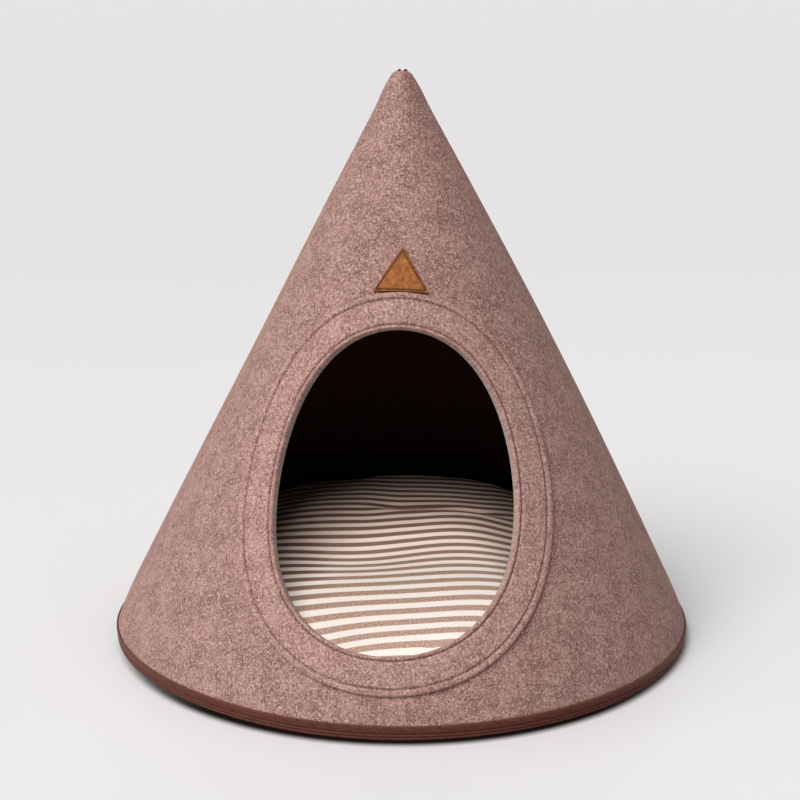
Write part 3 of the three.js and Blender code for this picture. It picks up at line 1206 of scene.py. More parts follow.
    def door_ring(self) -> Surface:
        """The window round the doorway, from its border over the cut edge and back along the inner face.

        Each column goes straight on the flat felt from a point of the border to the oval, turns over the edge
        on two quarter rounds and goes back to the same point on the inside.

        Returns:
            The ring, which meets the rest of the wall at the border.
        """
        sweep, tall = self.window_edge()
        border = self.form.unroll(sweep, tall, self.doorway.turn)
        hole = self.doorway.hole
        lean = math.radians(hole.tilt)
        x = border[:, 0] - hole.shift
        y = border[:, 1] - hole.down
        across = (x * math.cos(lean) + y * math.sin(lean)) / hole.half_width
        below = (y * math.cos(lean) - x * math.sin(lean)) / hole.half_height
        angle = np.unwrap(np.arctan2(across, below))
        near = hole.to(hole, 0.0, angle, self.edge_round)
        share = np.linspace(1.0, 0.0, self.ring_rows)[:, None, None] ** self.ring_crowding
        sheet = near + (border - near) * share
        turn = np.linspace(0.0, 0.5 * math.pi, self.edge_rows)
        grow = self.edge_round * np.concatenate([1.0 - np.sin(turn[1:]), 1.0 - np.cos(turn[:-1])])
        sunk = self.edge_round * np.concatenate([1.0 - np.cos(turn[1:]), np.sin(turn[:-1])])
        sunk[len(turn) - 1 :] += self.thickness - self.edge_round
        edge = hole.to(hole, 0.0, angle[None, :], grow[:, None])
        flat = np.concatenate([sheet, edge, sheet[::-1]])
        over = hole.to(hole, 0.0, angle[None, :], (grow - sunk)[:, None])
        cloth = np.concatenate([sheet, over, sheet[::-1]])
        lift = np.concatenate([np.zeros(len(share)), -sunk, np.full(len(share), -self.thickness)])
        points = self.form.roll(flat, self.doorway.turn, lift[:, None])
        number = np.arange(len(points) - 1)
        finish = np.full(len(number), WallFace.OUTSIDE.value)
        finish[number >= self.ring_rows - 1] = WallFace.CUT_EDGE.value
        finish[number >= len(points) - self.ring_rows] = WallFace.INSIDE.value
        return Surface.from_grid(points, cloth, finish)

    def seam_stitches(self) -> Surface:
        """Two rows of stitching down the back, one on each side of the seam.

        Returns:
            Both rows as one surface.
        """
        low = self.form.binding_height + self.seam_stitch_start
        z = np.linspace(low, self.seam_stitch_end * self.tip_height, self.seam_path_points)
        rows = []
        for side in (-1.0, 1.0):
            sweep = math.pi + side * self.seam_stitch_offset / self.form.radius(z)
            rows.append(self.seam_stitch.row(self.form.place(sweep, z), self.form.place(sweep, z, 1.0)))
        return Surface.joined(rows)

    def build(
        self, felt: FeltFinish, lining: FeltFinish, cut: FeltFinish, thread: TapeFinish
    ) -> list[bpy.types.Object]:
        """Makes the wall and the stitching of its back seam.

        Args:
            felt: Finish of the outside.
            lining: Finish of the inside.
            cut: Finish of the cut edge round the doorway.
            thread: Finish of the stitching.

        Returns:
            The wall, then the stitching.
        """
        surface = Surface.joined([self.round_wall(), self.door_ring()]).welded()
        wall = surface.to_object("felt_wall", [felt.material(), lining.material(), cut.material()])
        seam = self.seam_stitches().to_object("back_seam_stitching", [thread.material()])
        settle(wall, ["felt_cone"])
        settle(seam)
        return [wall, seam]


@dataclass
class DoorFacing:
    """The felt ring sewn on round the doorway, pressed down along its two rows of stitching."""

    form: ConeForm
    doorway: Doorway
    lift: float = 0.45
    height: float = 2.5
    edge_round: float = 1.5
    width: float = 33.0
    stitch_shares: tuple[float, ...] = (0.115, 0.81)
    ditch_depth: float = 1.5
    ditch_width: float = 0.9
    ditch_wave: float = 0.15
    ridge: float = 0.5
    ridge_share: float = 0.9
    ridge_width: float = 2.4
    least_height: float = 0.25
    stitch: Stitch = Stitch(pitch=4.2, length=3.7, thickness=0.7, sink=0.25)
    stitch_lift: float = 0.1
    # Painted shade along the stitching's ditches: its width and its strength.
    painted_ditch_shade_width: float = 0.75
    painted_ditch_shade_share: float = 0.48
    columns: int = 960
    top_rows: int = 60
    under_rows: int = 8
    edge_crowding: float = 0.35
    path_points: int = 2048

    def rise(self, share: Array, angle: Array) -> Array:
        """Height of the ring's top: a level band with rounded edges, less a ditch under each row of stitches.

        Args:
            share: Share of the way from the doorway to the outer edge.
            angle: Angle round the doorway.

        Returns:
            Millimetres above the ring's underside.
        """
        puff = self.ridge * bell((share - self.ridge_share) * self.width, self.ridge_width)
        ditches = sum(self.ditch(share, angle, row) for row in self.stitch_shares)
        return np.maximum(self.least_height, self.height - self.edge_drop(share) + puff - ditches)

    def ditch(self, share: Array, angle: Array, row: float) -> Array:
        """Depth of the ditch under a row of stitches: a bell across it, deepest between the stitches.

        Args:
            share: Share of the way from the doorway to the outer edge.
            angle: Angle round the doorway.
            row: Share at which the row lies.

        Returns:
            Millimetres below the level band.
        """
        wave = np.cos(FULL_TURN * self.stitch_count(row) * self.run_share(row, angle))
        across = self.ditch_depth * bell((share - row) * self.width, self.ditch_width)
        return across * (1.0 - self.ditch_wave + self.ditch_wave * wave)

    def edge_drop(self, share: Array) -> Array:
        """How far the top is down at its rounded edges: a quarter ellipse within the edge's rounding.

        Args:
            share: Share of the way from the doorway to the outer edge.

        Returns:
            Millimetres below the level band.
        """
        away = np.minimum(share, 1.0 - share) * self.width
        inside = np.clip(1.0 - away / self.edge_round, 0.0, 1.0)
        return self.height * (1.0 - np.sqrt(np.maximum(0.0, 1.0 - inside**2)))

    def path(self, share: float, lift: float) -> Array:
        """Points round the ring at a share of its width, from the lowest point to the right and back.

        Args:
            share: Share of the way from the doorway to the outer edge.
            lift: Distance off the wall.

        Returns:
            Points, the first met again at the end.
        """
        angle = np.linspace(0.0, FULL_TURN, self.path_points)
        flat = self.doorway.hole.to(self.doorway.facing, np.full(self.path_points, share), angle)
        return self.form.roll(flat, self.doorway.turn, lift)

    def run(self, share: float) -> Array:
        """Distance along the ring at a share of its width, at even angles from 0 to a full turn."""
        return running(np.linalg.norm(np.diff(self.path(share, self.lift), axis=0), axis=1))

    def run_share(self, share: float, angle: Array) -> Array:
        """Share of the whole way round at an angle."""
        run = self.run(share)
        return np.interp(angle, np.linspace(0.0, FULL_TURN, len(run)), run / run[-1])

    def stitch_count(self, share: float) -> int:
        """Number of stitches in a row."""
        return int(round(self.run(share)[-1] / self.stitch.pitch))

    def ring(self) -> Surface:
        """The ring as a closed section carried round the doorway: out along the underside, back on top.

        Returns:
            The ring, marked for painted shade along its rows of stitches.
        """
        angle = np.linspace(0.0, FULL_TURN, self.columns + 1)[None, :]
        under = np.linspace(0.0, 1.0, self.under_rows)
        crowded = 0.5 + 0.5 * np.cos(np.linspace(0.0, math.pi, self.top_rows))
        even = np.linspace(1.0, 0.0, self.top_rows)
        over = self.edge_crowding * crowded + (1.0 - self.edge_crowding) * even
        share = np.concatenate([under, over, under[:1]])[:, None]
        top = self.lift + self.rise(over[:, None], angle)
        low = np.full((self.under_rows, self.columns + 1), self.lift)
        flat = self.doorway.hole.to(self.doorway.facing, *np.broadcast_arrays(share, angle))
        points = self.form.roll(flat, self.doorway.turn, np.concatenate([low, top, low[:1]]))
        below = np.full(self.under_rows, self.height)
        drop = np.concatenate([below, self.edge_drop(over), below[:1]])[:, None]
        side = np.where(share > 0.5, 1.0, -1.0) * drop
        middle = np.array([self.doorway.hole.shift, self.doorway.hole.down])
        cloth = flat + side[..., None] * unit(flat - middle)
        # Painted shade along the ditches under the rows of stitches.
        pressed = sum(bell((share - row) * self.width, self.painted_ditch_shade_width) for row in self.stitch_shares)
        pressed[: self.under_rows] = 0.0
        return Surface.from_grid(points, cloth, press=self.painted_ditch_shade_share * pressed).welded()

    def stitching(self) -> Surface:
        """Both rows of stitches, lying in their ditches.

        Returns:
            Both rows as one surface.
        """
        low = self.lift + self.height - self.ditch_depth + self.stitch_lift
        rows = []
        for share in self.stitch_shares:
            rows.append(self.stitch.row(self.path(share, low), self.path(share, low + 1.0)))
        return Surface.joined(rows)

    def build(self, felt: FeltFinish, thread: TapeFinish) -> list[bpy.types.Object]:
        """Makes the ring and its stitching.

        Args:
            felt: Finish of the ring.
            thread: Finish of the stitches.

        Returns:
            The ring, then the stitching.
        """
        ring = self.ring().to_object("doorway_facing", [felt.material()])
        rows = self.stitching().to_object("doorway_stitching", [thread.material()])
        settle(ring, ["door_facing"])
        settle(rows)
        return [ring, rows]


@dataclass
class LeatherLabel:
    """The bare triangular leather patch above the doorway, with a pressed and stitched border."""

    form: ConeForm
    side: float = 43.4
    corner_power: float = 36.0
    down: float = 188.5
    turn: float = math.radians(-1.4)
    tilt: float = math.radians(2.0)
    lift: float = 0.3
    thickness: float = 2.0
    edge_round: float = 0.55
    border: float = 1.65
    border_depth: float = 0.5
    border_width: float = 0.5
    border_burnish: float = 0.7
    border_burnish_width: float = 0.6
    edge_burnish: float = 0.35
    edge_burnish_width: float = 0.8
    crown: float = 0.1
    crown_reach: float = 6.0
    stitch: Stitch = Stitch(pitch=2.4, length=1.9, thickness=0.6, sink=0.2)
    stitch_lift: float = 0.25
    path_points: int = 1500
    columns: int = 288
    crowding: float = 0.85
    top_rows: int = 34
    edge_rows: int = 6
    under_rows: int = 8

    def reach(self, angle: Array) -> Array:
        """Distance from the middle to the edge: the inradius over the p-norm of the three sides' cosines.

        Args:
            angle: Angle from the middle of the lower side.

        Returns:
            Millimetres to the edge.
        """
        sides = angle[..., None] - np.arange(3) * FULL_TURN / 3.0
        facing = np.maximum(0.0, np.cos(sides)) ** self.corner_power
        return self.inradius / facing.sum(axis=-1) ** (1.0 / self.corner_power)

    @property
    def inradius(self) -> float:
        """Distance from the patch's middle to a side."""
        return self.side / (2.0 * math.sqrt(3.0))

    def flat(self, share: Array, angle: Array) -> Array:
        """Flat places at a share of the way to the edge. Angle 0 is the middle of the lower side.

        Args:
            share: Share of the way to the edge.
            angle: Angle from the middle of the lower side.

        Returns:
            Places, with a last axis of 2.
        """
        along = share * self.reach(angle)
        across = along * np.sin(angle - self.tilt)
        return np.stack([across, self.down + along * np.cos(angle - self.tilt)], axis=-1)

    def patch(self) -> Surface:
        """The patch as a section carried round its middle: out along the underside, back over the top.

        The angles crowd at the corners: a third of their crowding times sine three times the angle is added.

        Returns:
            The patch, marked as burnished along its edge and border.
        """
        even = np.linspace(0.0, FULL_TURN, self.columns + 1)[None, :]
        angle = even + self.crowding / 3.0 * np.sin(3.0 * even)
        turn = np.linspace(0.0, 0.5 * math.pi, self.edge_rows)
        rounding = self.edge_round / self.inradius
        under = np.linspace(0.0, 1.0, self.under_rows)
        over = np.linspace(1.0 - rounding, 0.0, self.top_rows)[1:]
        share = np.concatenate([under, 1.0 - rounding * (1.0 - np.cos(turn)), over])[:, None]
        top = self.lift + self.thickness
        away = (1.0 - over) * self.inradius
        pressed = self.border_depth * bell(away - self.border, self.border_width)
        lift = np.concatenate(
            [
                np.full(len(under), self.lift),
                top - self.edge_round * (1.0 - np.sin(turn)),
                top + self.crown * smooth(away, 0.0, self.crown_reach) - pressed,
            ]
        )
        flat = self.flat(*np.broadcast_arrays(share, angle))
        points = self.form.roll(flat, self.turn, lift[:, None])
        inward = (1.0 - share) * self.inradius
        edge = self.edge_burnish * smooth(-inward, -self.edge_burnish_width, 0.0)
        worn = edge + self.border_burnish * bell(inward - self.border, self.border_burnish_width)
        return Surface.from_grid(points, flat, press=np.clip(worn, 0.0, 1.0)).welded()

    def stitching(self) -> Surface:
        """A row of fine stitches in the pressed border.

        Returns:
            The row as one surface.
        """
        angle = np.linspace(0.0, FULL_TURN, self.path_points)
        flat = self.flat(np.full(len(angle), 1.0 - self.border / self.inradius), angle)
        low = self.lift + self.thickness - self.border_depth + self.stitch_lift
        path, lifted = (self.form.roll(flat, self.turn, height) for height in (low, low + 1.0))
        return self.stitch.row(path, lifted)

    def build(self, leather: LeatherFinish, thread: TapeFinish) -> list[bpy.types.Object]:
        """Makes the patch and its stitching.

        Args:
            leather: Finish of the patch.
            thread: Finish of the stitches.

        Returns:
            The patch, then the stitching.
        """
        patch = self.patch().to_object("leather_patch", [leather.material()])
        border = self.stitching().to_object("patch_stitching", [thread.material()])
        settle(patch, ["leather_label"])
        settle(border)
        return [patch, border]


@dataclass
class BoundFloor:
    """The round felt floor and the tape that binds its edge to the wall's foot."""

    form: ConeForm
    floor_radius: float = 244.5
    floor_height: float = 4.0
    floor_round: float = 0.8
    gap: float = 0.3
    tape_heights: tuple[float, ...] = (
        0.0, 0.7, 1.8, 2.7, 3.1, 3.5, 4.6, 5.4, 5.8, 6.3, 8.6, 10.8, 11.9, 12.2,
    )
    tape_radii: tuple[float, ...] = (
        247.2, 248.5, 249.1, 249.0, 247.9, 249.2, 249.5, 249.2, 247.7, 249.5, 249.9, 250.0, 249.8, 249.2,
    )
    tape_easing: tuple[float, float, float] = (0.2, 0.6, 0.2)
    tape_fold: float = 0.2
    columns: int = 512
    tape_rows: int = 56
    edge_rows: int = 5
    floor_rows: int = 24

    def floor(self) -> Surface:
        """A disc with rounded edges, from the middle of its underside to the middle of its top.

        Returns:
            The disc, with its plan as its cloth.
        """
        sweep = np.linspace(-math.pi, math.pi, self.columns + 1)
        turn = np.linspace(0.0, 0.5 * math.pi, self.edge_rows)
        soft = self.floor_round
        side = self.floor_radius - soft
        reach = np.linspace(0.0, side, self.floor_rows)
        radius = np.concatenate(
            [reach, side + soft * np.sin(turn[1:]), side + soft * np.cos(turn), reach[::-1][1:]]
        )
        z = np.concatenate(
            [
                np.zeros(len(reach)),
                soft * (1.0 - np.cos(turn[1:])),
                self.floor_height - soft * (1.0 - np.sin(turn)),
                np.full(len(reach) - 1, self.floor_height),
            ]
        )
        points = self.turned(sweep, radius, z)
        return Surface.from_grid(points, points[..., :2]).welded()

    def turned(self, sweep: Array, radius: Array, z: Array) -> Array:
        """Points of a profile turned about +Z, drawn in like the wall's foot by the square of their reach.

        Args:
            sweep: Turns of the columns.
            radius: Radii of the profile.
            z: Heights of the profile.

        Returns:
            Places, rows by columns by 3.
        """
        radius, z = radius[:, None], z[:, None]
        radius = radius - self.form.flattening(sweep, z) * (radius / self.floor_radius) ** 2
        return np.stack(np.broadcast_arrays(radius * np.sin(sweep), -radius * np.cos(sweep), z), axis=-1)

    def tape(self) -> Surface:
        """The tape: its pressed outer face, turned in over the top and down behind to the floor's edge.

        Returns:
            The tape as a closed band.
        """
        sweep = np.linspace(-math.pi, math.pi, self.columns + 1)
        tall = np.linspace(0.0, self.tape_heights[-1], self.tape_rows)
        outer = np.interp(tall, self.tape_heights, self.tape_radii)
        eased = np.convolve(np.pad(outer, 1, mode="edge"), self.tape_easing, mode="valid")
        seat = self.floor_height + self.gap
        foot = float(self.form.radius(np.array(seat))) + self.gap
        top = float(self.form.radius(np.array(self.form.binding_height))) + self.gap
        edge = self.floor_radius + self.gap
        radius = np.concatenate([eased, [0.5 * (top + eased[-1]), top, foot, foot, edge, edge, eased[0]]])
        high = self.tape_heights[-1]
        back = [high + self.tape_fold, high, seat, self.floor_height, self.floor_height, 0.0, 0.0]
        z = np.concatenate([tall, back])
        points = self.turned(sweep, radius, z)
        across = running(np.hypot(np.diff(radius), np.diff(z)))[:, None]
        cloth = np.stack(np.broadcast_arrays(sweep * self.tape_radii[-1], across), axis=-1)
        return Surface.from_grid(points, cloth).welded()

    def build(self, felt: FeltFinish, tape: TapeFinish) -> list[bpy.types.Object]:
        """Makes the floor and its binding.

        Args:
            felt: Finish of the floor.
            tape: Finish of the binding.

        Returns:
            The floor, then the binding.
        """
        floor = self.floor().to_object("felt_floor", [felt.material()])
        binding = self.tape().to_object("floor_binding", [tape.material()])
        settle(floor, ["base_panel"])
        settle(binding, ["base_binding"])
        return [floor, binding]


@dataclass
class TipTapes:
    """The two tape ends that stand out of the tip."""

    low: float = 482.6
    high: float = 485.9
    middle: float = 0.9
    spread: float = 2.6
    fold: float = 0.9
    half_thick: float = 0.7
    half_depth: float = 1.3
    corner_power: float = 0.5
    section_points: int = 33
    ply_rows: int = 7
    fold_rows: int = 17

    def squared(self, wave: Array) -> Array:
        """A sine or cosine drawn out to square corners: its sign times its size to the corner power."""
        return np.sign(wave) * np.abs(wave) ** self.corner_power

    def end(self, side: int) -> Surface:
        """One end: a flat rounded section carried up one ply, round the fold and down the other ply.

        Args:
            side: -1 for the left end, 1 for the right one.

        Returns:
            The end, closed at both plies' feet.
        """
        section = np.linspace(0.0, FULL_TURN, self.section_points)[None, :]
        top = self.high - self.fold - self.half_thick
        rise = np.linspace(self.low, top, self.ply_rows)
        turn = np.linspace(0.0, math.pi, self.fold_rows)
        ply = np.concatenate([np.zeros(self.ply_rows), turn[1:-1], np.full(self.ply_rows, math.pi)])
        z = np.concatenate([rise, top + self.fold * np.sin(turn[1:-1]), rise[::-1]])
        ply, z = (np.concatenate([line[:1], line, line[-1:]])[:, None] for line in (ply, z))
        scale = np.ones_like(z)
        scale[[0, -1]] = 0.0
        thick = self.squared(np.cos(section)) * self.half_thick * scale
        deep = self.squared(np.sin(section)) * self.half_depth * scale
        x = self.middle + side * self.spread - (self.fold + thick) * np.cos(ply)
        points = np.stack(np.broadcast_arrays(x, -deep, z + thick * np.sin(ply)), axis=-1)
        run = running(np.hypot(np.diff(z[:, 0]), self.fold * np.diff(ply[:, 0])))[:, None]
        return Surface.from_grid(points, np.stack(np.broadcast_arrays(deep, run), axis=-1)).welded()

    def build(self, tape: TapeFinish) -> list[bpy.types.Object]:
        """Makes both tape ends.

        Args:
            tape: Finish of the tape.

        Returns:
            The left end, then the right one.
        """
        ends = []
        for name, side in (("left", -1), ("right", 1)):
            end = self.end(side).to_object(f"tip_tape_end_{name}", [tape.material()])
            settle(end, [f"tip_tape_{name}"])
            ends.append(end)
        return ends


@dataclass(frozen=True)
class Swell:
    """A soft rise or hollow of the cushion's top."""

    x: float
    y: float
    spread_x: float
    spread_y: float
    rise: float

    def height(self, x: Array, y: Array) -> Array:
        """Rise times a bell in each direction."""
        return self.rise * bell(x - self.x, self.spread_x) * bell(y - self.y, self.spread_y)


@dataclass
class StripedCushion:
    """The filled cushion: two round panels sewn together at the rim, with stripes from side to side.

    Attributes:
        under_shift: Distance between the two panels on the cloth, in radii.
        shrink: How much smaller the cover is before it is filled.
        cap: The longest move that filling may give a point.
        swelling: Share that stays of each ring's mean move.
        middle_hold: Share of the puckers that stays inside hold_span, which is in radii.
        fork_left: Where the tuck begins, at the stripe tuck_stripe.
        fork_right: Where it ends, one stripe nearer.
        tuck_front: Distance over which its shift of the stripes in front fades.
    """

    radius: float = 227.0
    bottom: float = 4.3
    seam_height: float = 36.0
    crown: float = 48.0
    flat_radius: float = 186.0
    crown_power: float = 3.0
    crown_fullness: float = 0.7
    belly_power: float = 2.2
    tilt: float = 0.04
    rim_hold_power: float = 8.0
    swells: tuple[Swell, ...] = (
        Swell(-25.0, -45.0, 60.0, 45.0, -5.0),
        Swell(0.0, 165.0, 160.0, 60.0, 6.0),
        Swell(85.0, -140.0, 60.0, 60.0, 8.0),
        Swell(50.0, 30.0, 40.0, 60.0, 3.5),
        Swell(10.0, -205.0, 80.0, 30.0, 4.0),
    )
    creases: tuple[Swell, ...] = (
        Swell(-90.0, -195.0, 45.0, 40.0, -9.0),
        Swell(20.0, 200.0, 120.0, 34.0, 12.0),
        Swell(-125.0, 172.0, 42.0, 38.0, 7.0),
        Swell(-95.0, 190.0, 55.0, 45.0, 6.0),
        Swell(95.0, 185.0, 50.0, 45.0, 6.0),
        Swell(60.0, -200.0, 40.0, 35.0, 5.0),
        Swell(-60.0, -25.0, 50.0, 45.0, -2.5),
        Swell(-80.0, 80.0, 50.0, 50.0, 2.5),
        Swell(118.0, 0.0, 40.0, 70.0, -4.0),
        Swell(35.0, -60.0, 45.0, 50.0, 1.5),
    )
    crease_hold_power: float = 16.0
    first_stripe: float = -203.0
    stripe_points: int = 2001
    cells: int = 110
    rim_crowding: float = 0.4
    under_shift: float = 3.0
    shrink: float = 1.2
    pressure: float = 4.0
    cover_mass: float = 0.2
    stiffness: float = 18.0
    bending: float = 0.4
    cloth_quality: int = 6
    steps: int = 20
    cap: float = 6.0
    swelling: float = 0.2
    seam_reach: float = 0.5
    seam_shrink: float = 0.06
    middle_hold: float = 0.1
    hold_span: Span = (0.72, 0.92)
    fork_left: float = -18.0
    fork_right: float = 86.0
    fork_reach: float = 20.0
    tuck_stripe: int = 18
    tuck_depth: float = 2.4
    tuck_width: float = 5.0
    tuck_step: float = 3.4
    tuck_front: float = 45.0
    tuck_shade: float = 0.75

    def top_height(self, x: Array, y: Array) -> Array:
        """Height of the top: a crown over the seam, with swells and creases that fade out at the rim.

        Args:
            x: Sideways places.
            y: Lengthways places.

        Returns:
            Heights above the ground.
        """
        share = np.minimum(np.hypot(x, y) / self.radius, 1.0)
        crown = self.crown * (1.0 - share**self.crown_power) ** self.crown_fullness
        rises = self.tilt * y + sum(swell.height(x, y) for swell in self.swells)
        worn = sum(crease.height(x, y) for crease in self.creases)
        soft = (1.0 - share**self.rim_hold_power) * rises + (1.0 - share**self.crease_hold_power) * worn
        return self.seam_height + crown + soft

    def under_height(self, x: Array, y: Array) -> Array:
        """Height of the underside: flat in the middle, then up to the seam along a power curve.

        Args:
            x: Sideways places.
            y: Lengthways places.

        Returns:
            Heights above the ground.
        """
        reach = np.clip((self.radius - np.hypot(x, y)) / (self.radius - self.flat_radius), 0.0, 1.0)
        share = (1.0 - (1.0 - reach) ** self.belly_power) ** (1.0 / self.belly_power)
        return self.seam_height - (self.seam_height - self.bottom) * share

    def disc(self) -> tuple[Array, Array]:
        """A square grid drawn into a disc: each square ring becomes a circle with its points evenly turned.

        The rings crowd towards the rim, by a share of the sine of a quarter turn times their reach. Each
        corner of the grid is laid on its neighbour, so that welding leaves a neat triangle there.

        Returns:
            Sideways and lengthways places.
        """
        line = np.linspace(-1.0, 1.0, self.cells + 1)
        across, along = np.meshgrid(line, line)
        wide = np.abs(across) > np.abs(along)
        reach = np.where(wide, across, along)
        safe = np.where(reach == 0.0, 1.0, reach)
        quarter = 0.25 * math.pi
        angle = np.where(wide, quarter * along / safe, 2.0 * quarter - quarter * across / safe)
        angle[[0, -1], 0], angle[[0, -1], -1] = angle[[0, -1], 1], angle[[0, -1], -2]
        reach = reach + self.rim_crowding * (np.sin(2.0 * quarter * reach) - reach)
        return self.radius * reach * np.cos(angle), self.radius * reach * np.sin(angle)

    def panels(self) -> Surface:
        """Both panels, with the seam at the rim, a little smaller than the finished cushion.

        Returns:
            The cover, with its plan as its cloth.
        """
        x, y = self.disc()
        inset = 1.0 - self.shrink / self.radius
        cloth = np.stack([x, y], axis=-1)
        top = np.stack([x * inset, y * inset, self.top_height(x, y) - self.shrink], axis=-1)
        under = np.stack([x * inset, y * inset, self.under_height(x, y) + self.shrink], axis=-1)
        rim = np.isclose(np.hypot(x, y), self.radius)
        under[rim] = top[rim]
        upper = Surface.from_grid(top, cloth)
        apart = np.array([0.0, self.under_shift * self.radius])
        lower = Surface.from_grid(under[:, ::-1], cloth[:, ::-1] + apart)
        return Surface.joined([upper, lower]).welded()

    def fill(self, cushion: bpy.types.Object) -> None:
        """Blows the cover up as cloth under pressure, with its seam drawn tight, and keeps its puckers.

        Args:
            cushion: The cushion, whose mesh is changed.
        """
        start = places_of(cushion.data)
        reach = np.hypot(start[:, 0], start[:, 1])
        rim = np.flatnonzero(reach > self.radius - self.shrink - self.seam_reach)
        cushion.vertex_groups.new(name="seam").add(rim.tolist(), 1.0, "REPLACE")
        cloth = cushion.modifiers.new("filling", "CLOTH")
        cloth.settings.quality = self.cloth_quality
        cloth.settings.mass = self.cover_mass
        cloth.settings.use_pressure = True
        cloth.settings.uniform_pressure_force = self.pressure
        cloth.settings.effector_weights.gravity = 0.0
        cloth.settings.tension_stiffness = self.stiffness
        cloth.settings.compression_stiffness = self.stiffness
        cloth.settings.bending_stiffness = self.bending
        cloth.settings.vertex_group_shrink = "seam"
        cloth.settings.shrink_min = 0.0
        cloth.settings.shrink_max = self.seam_shrink
        cloth.point_cache.frame_start = 1
        cloth.point_cache.frame_end = self.steps
        scene = bpy.context.scene
        for step in range(1, self.steps + 1):
            scene.frame_set(step)
        blown = cushion.evaluated_get(bpy.context.evaluated_depsgraph_get())
        move = places_of(blown.to_mesh()) - start
        cushion.modifiers.clear()
        cushion.vertex_groups.clear()
        scene.frame_set(1)
        far = np.linalg.norm(move, axis=1, keepdims=True)
        LOG.info("filling moves the cover by up to %.1f mm, %.1f on average", far.max(), far.mean())
        move *= np.minimum(1.0, self.cap / np.maximum(far, TINY))
        kept = start + self.puckers(start, move)
        kept[:, 2] = np.maximum(kept[:, 2], self.bottom)
        move_points(cushion.data, kept)

    def puckers(self, start: Array, move: Array) -> Array:
        """The uneven part of a move: the move less most of the mean of its ring on its panel.

        Args:
            start: Places before the move.
            move: The move at each place.

        Returns:
            The move with the rings' mean swelling cut to a small share, weaker in the middle of the panels.
        """
        reach = np.hypot(start[:, 0], start[:, 1])
        out = start[:, :2] / np.maximum(reach, TINY)[:, None]
        panel = start[:, 2] > self.seam_height - self.shrink
        ring = np.round(reach / self.radius * self.cells).astype(int) * 2 + panel
        count = np.maximum(1.0, np.bincount(ring))
        outward = np.bincount(ring, (move[:, :2] * out).sum(axis=1)) / count
        upward = np.bincount(ring, move[:, 2]) / count
        mean = np.concatenate([out * outward[ring, None], upward[ring, None]], axis=1)
        near_rim = smooth(reach, *(share * self.radius for share in self.hold_span))[:, None]
        held = self.middle_hold + (1.0 - self.middle_hold) * near_rim
        return held * (move - (1.0 - self.swelling) * mean)

    def subdivide(self, cushion: bpy.types.Object) -> None:
        """Rounds the cover with one applied level of subdivision.

        Args:
            cushion: The cushion, whose mesh is replaced.
        """
        level = cushion.modifiers.new("rounding", "SUBSURF")
        level.levels = level.render_levels = 1
        finer = cushion.evaluated_get(bpy.context.evaluated_depsgraph_get())
        rounded = bpy.data.meshes.new_from_object(finer)
        cushion.modifiers.clear()
        old = cushion.data
        cushion.data = rounded
        bpy.data.meshes.remove(old)
        rounded.name = cushion.name

    def tuck(self, x: Array, along: Array, pitch: float) -> tuple[Array, Array]:
        """The small tuck across the top, which leans from one stripe at its left end to another at its right.

        Args:
            x: Sideways places.
            along: Distances along the cloth from the first stripe.
            pitch: Distance from stripe to stripe.

        Returns:
            How strong the tuck is, with a soft step at each fork, and how far behind it each place lies.
        """
        begun = smooth(x, self.fork_left - self.fork_reach, self.fork_left + self.fork_reach)
        ended = smooth(x, self.fork_right - self.fork_reach, self.fork_right + self.fork_reach)
        share = (x - self.fork_left) / (self.fork_right - self.fork_left)
        return begun * (1.0 - ended), along - pitch * (self.tuck_stripe - share)

    def stripe_run(self, y: Array) -> Array:
        """Distance along the top's middle line from the first cream stripe: the sum of small slant steps.

        Args:
            y: Lengthways places.

        Returns:
            Millimetres along the cloth, negative before that stripe.
        """
        line = np.linspace(-self.radius, self.radius, self.stripe_points)
        height = self.top_height(np.zeros_like(line), line)
        run = running(np.hypot(np.diff(line), np.diff(height)))
        return np.interp(y, line, run) - np.interp(self.first_stripe, line, run)

    def draw_stripes(self, mesh: bpy.types.Mesh, pitch: float) -> None:
        """Presses the tuck into the top, paints shade into its fold and lays the cloth's stripes along the
        finished cover.

        Args:
            mesh: The cushion's mesh, whose cloth map holds plan places.
            pitch: Distance from stripe to stripe, which the tuck swallows once.
        """
        cloth = np.empty(2 * len(mesh.loops), np.float32)
        layer = mesh.uv_layers[CLOTH_MAP].data
        layer.foreach_get("uv", cloth)
        plan = cloth.reshape(-1, 2).astype(float) / MM
        upper = plan[:, 1] < 0.5 * self.under_shift * self.radius
        run = self.stripe_run(plan[:, 1])
        strength, behind = self.tuck(plan[:, 0], run, pitch)
        strength *= upper
        swallowed = pitch * strength * (smooth(behind, -self.tuck_step, self.tuck_step) - 0.5)
        swallowed *= np.exp(np.minimum(0.0, behind + self.tuck_step) / self.tuck_front)
        along = np.where(upper, run + swallowed, plan[:, 1])
        striped = np.stack([plan[:, 0], along], axis=-1)
        layer.foreach_set("uv", (striped * MM).astype(np.float32).ravel())
        points = places_of(mesh)
        numbers = np.empty(len(mesh.loops), np.int32)
        mesh.loops.foreach_get("vertex_index", numbers)
        drop, shade = np.zeros((2, len(points)))
        drop[numbers] = self.tuck_depth * strength * bell(behind, self.tuck_width)
        # Painted shade in the tuck's fold, which the cover's finish mixes in as taupe in painted shade.
        shade[numbers] = self.tuck_shade * strength * bell(behind, self.tuck_step)
        points[:, 2] -= drop
        mesh.attributes.new(PAINTED_SHADE_AND_BURNISH, "FLOAT", "POINT").data.foreach_set("value", shade.astype(np.float32))
        move_points(mesh, points)

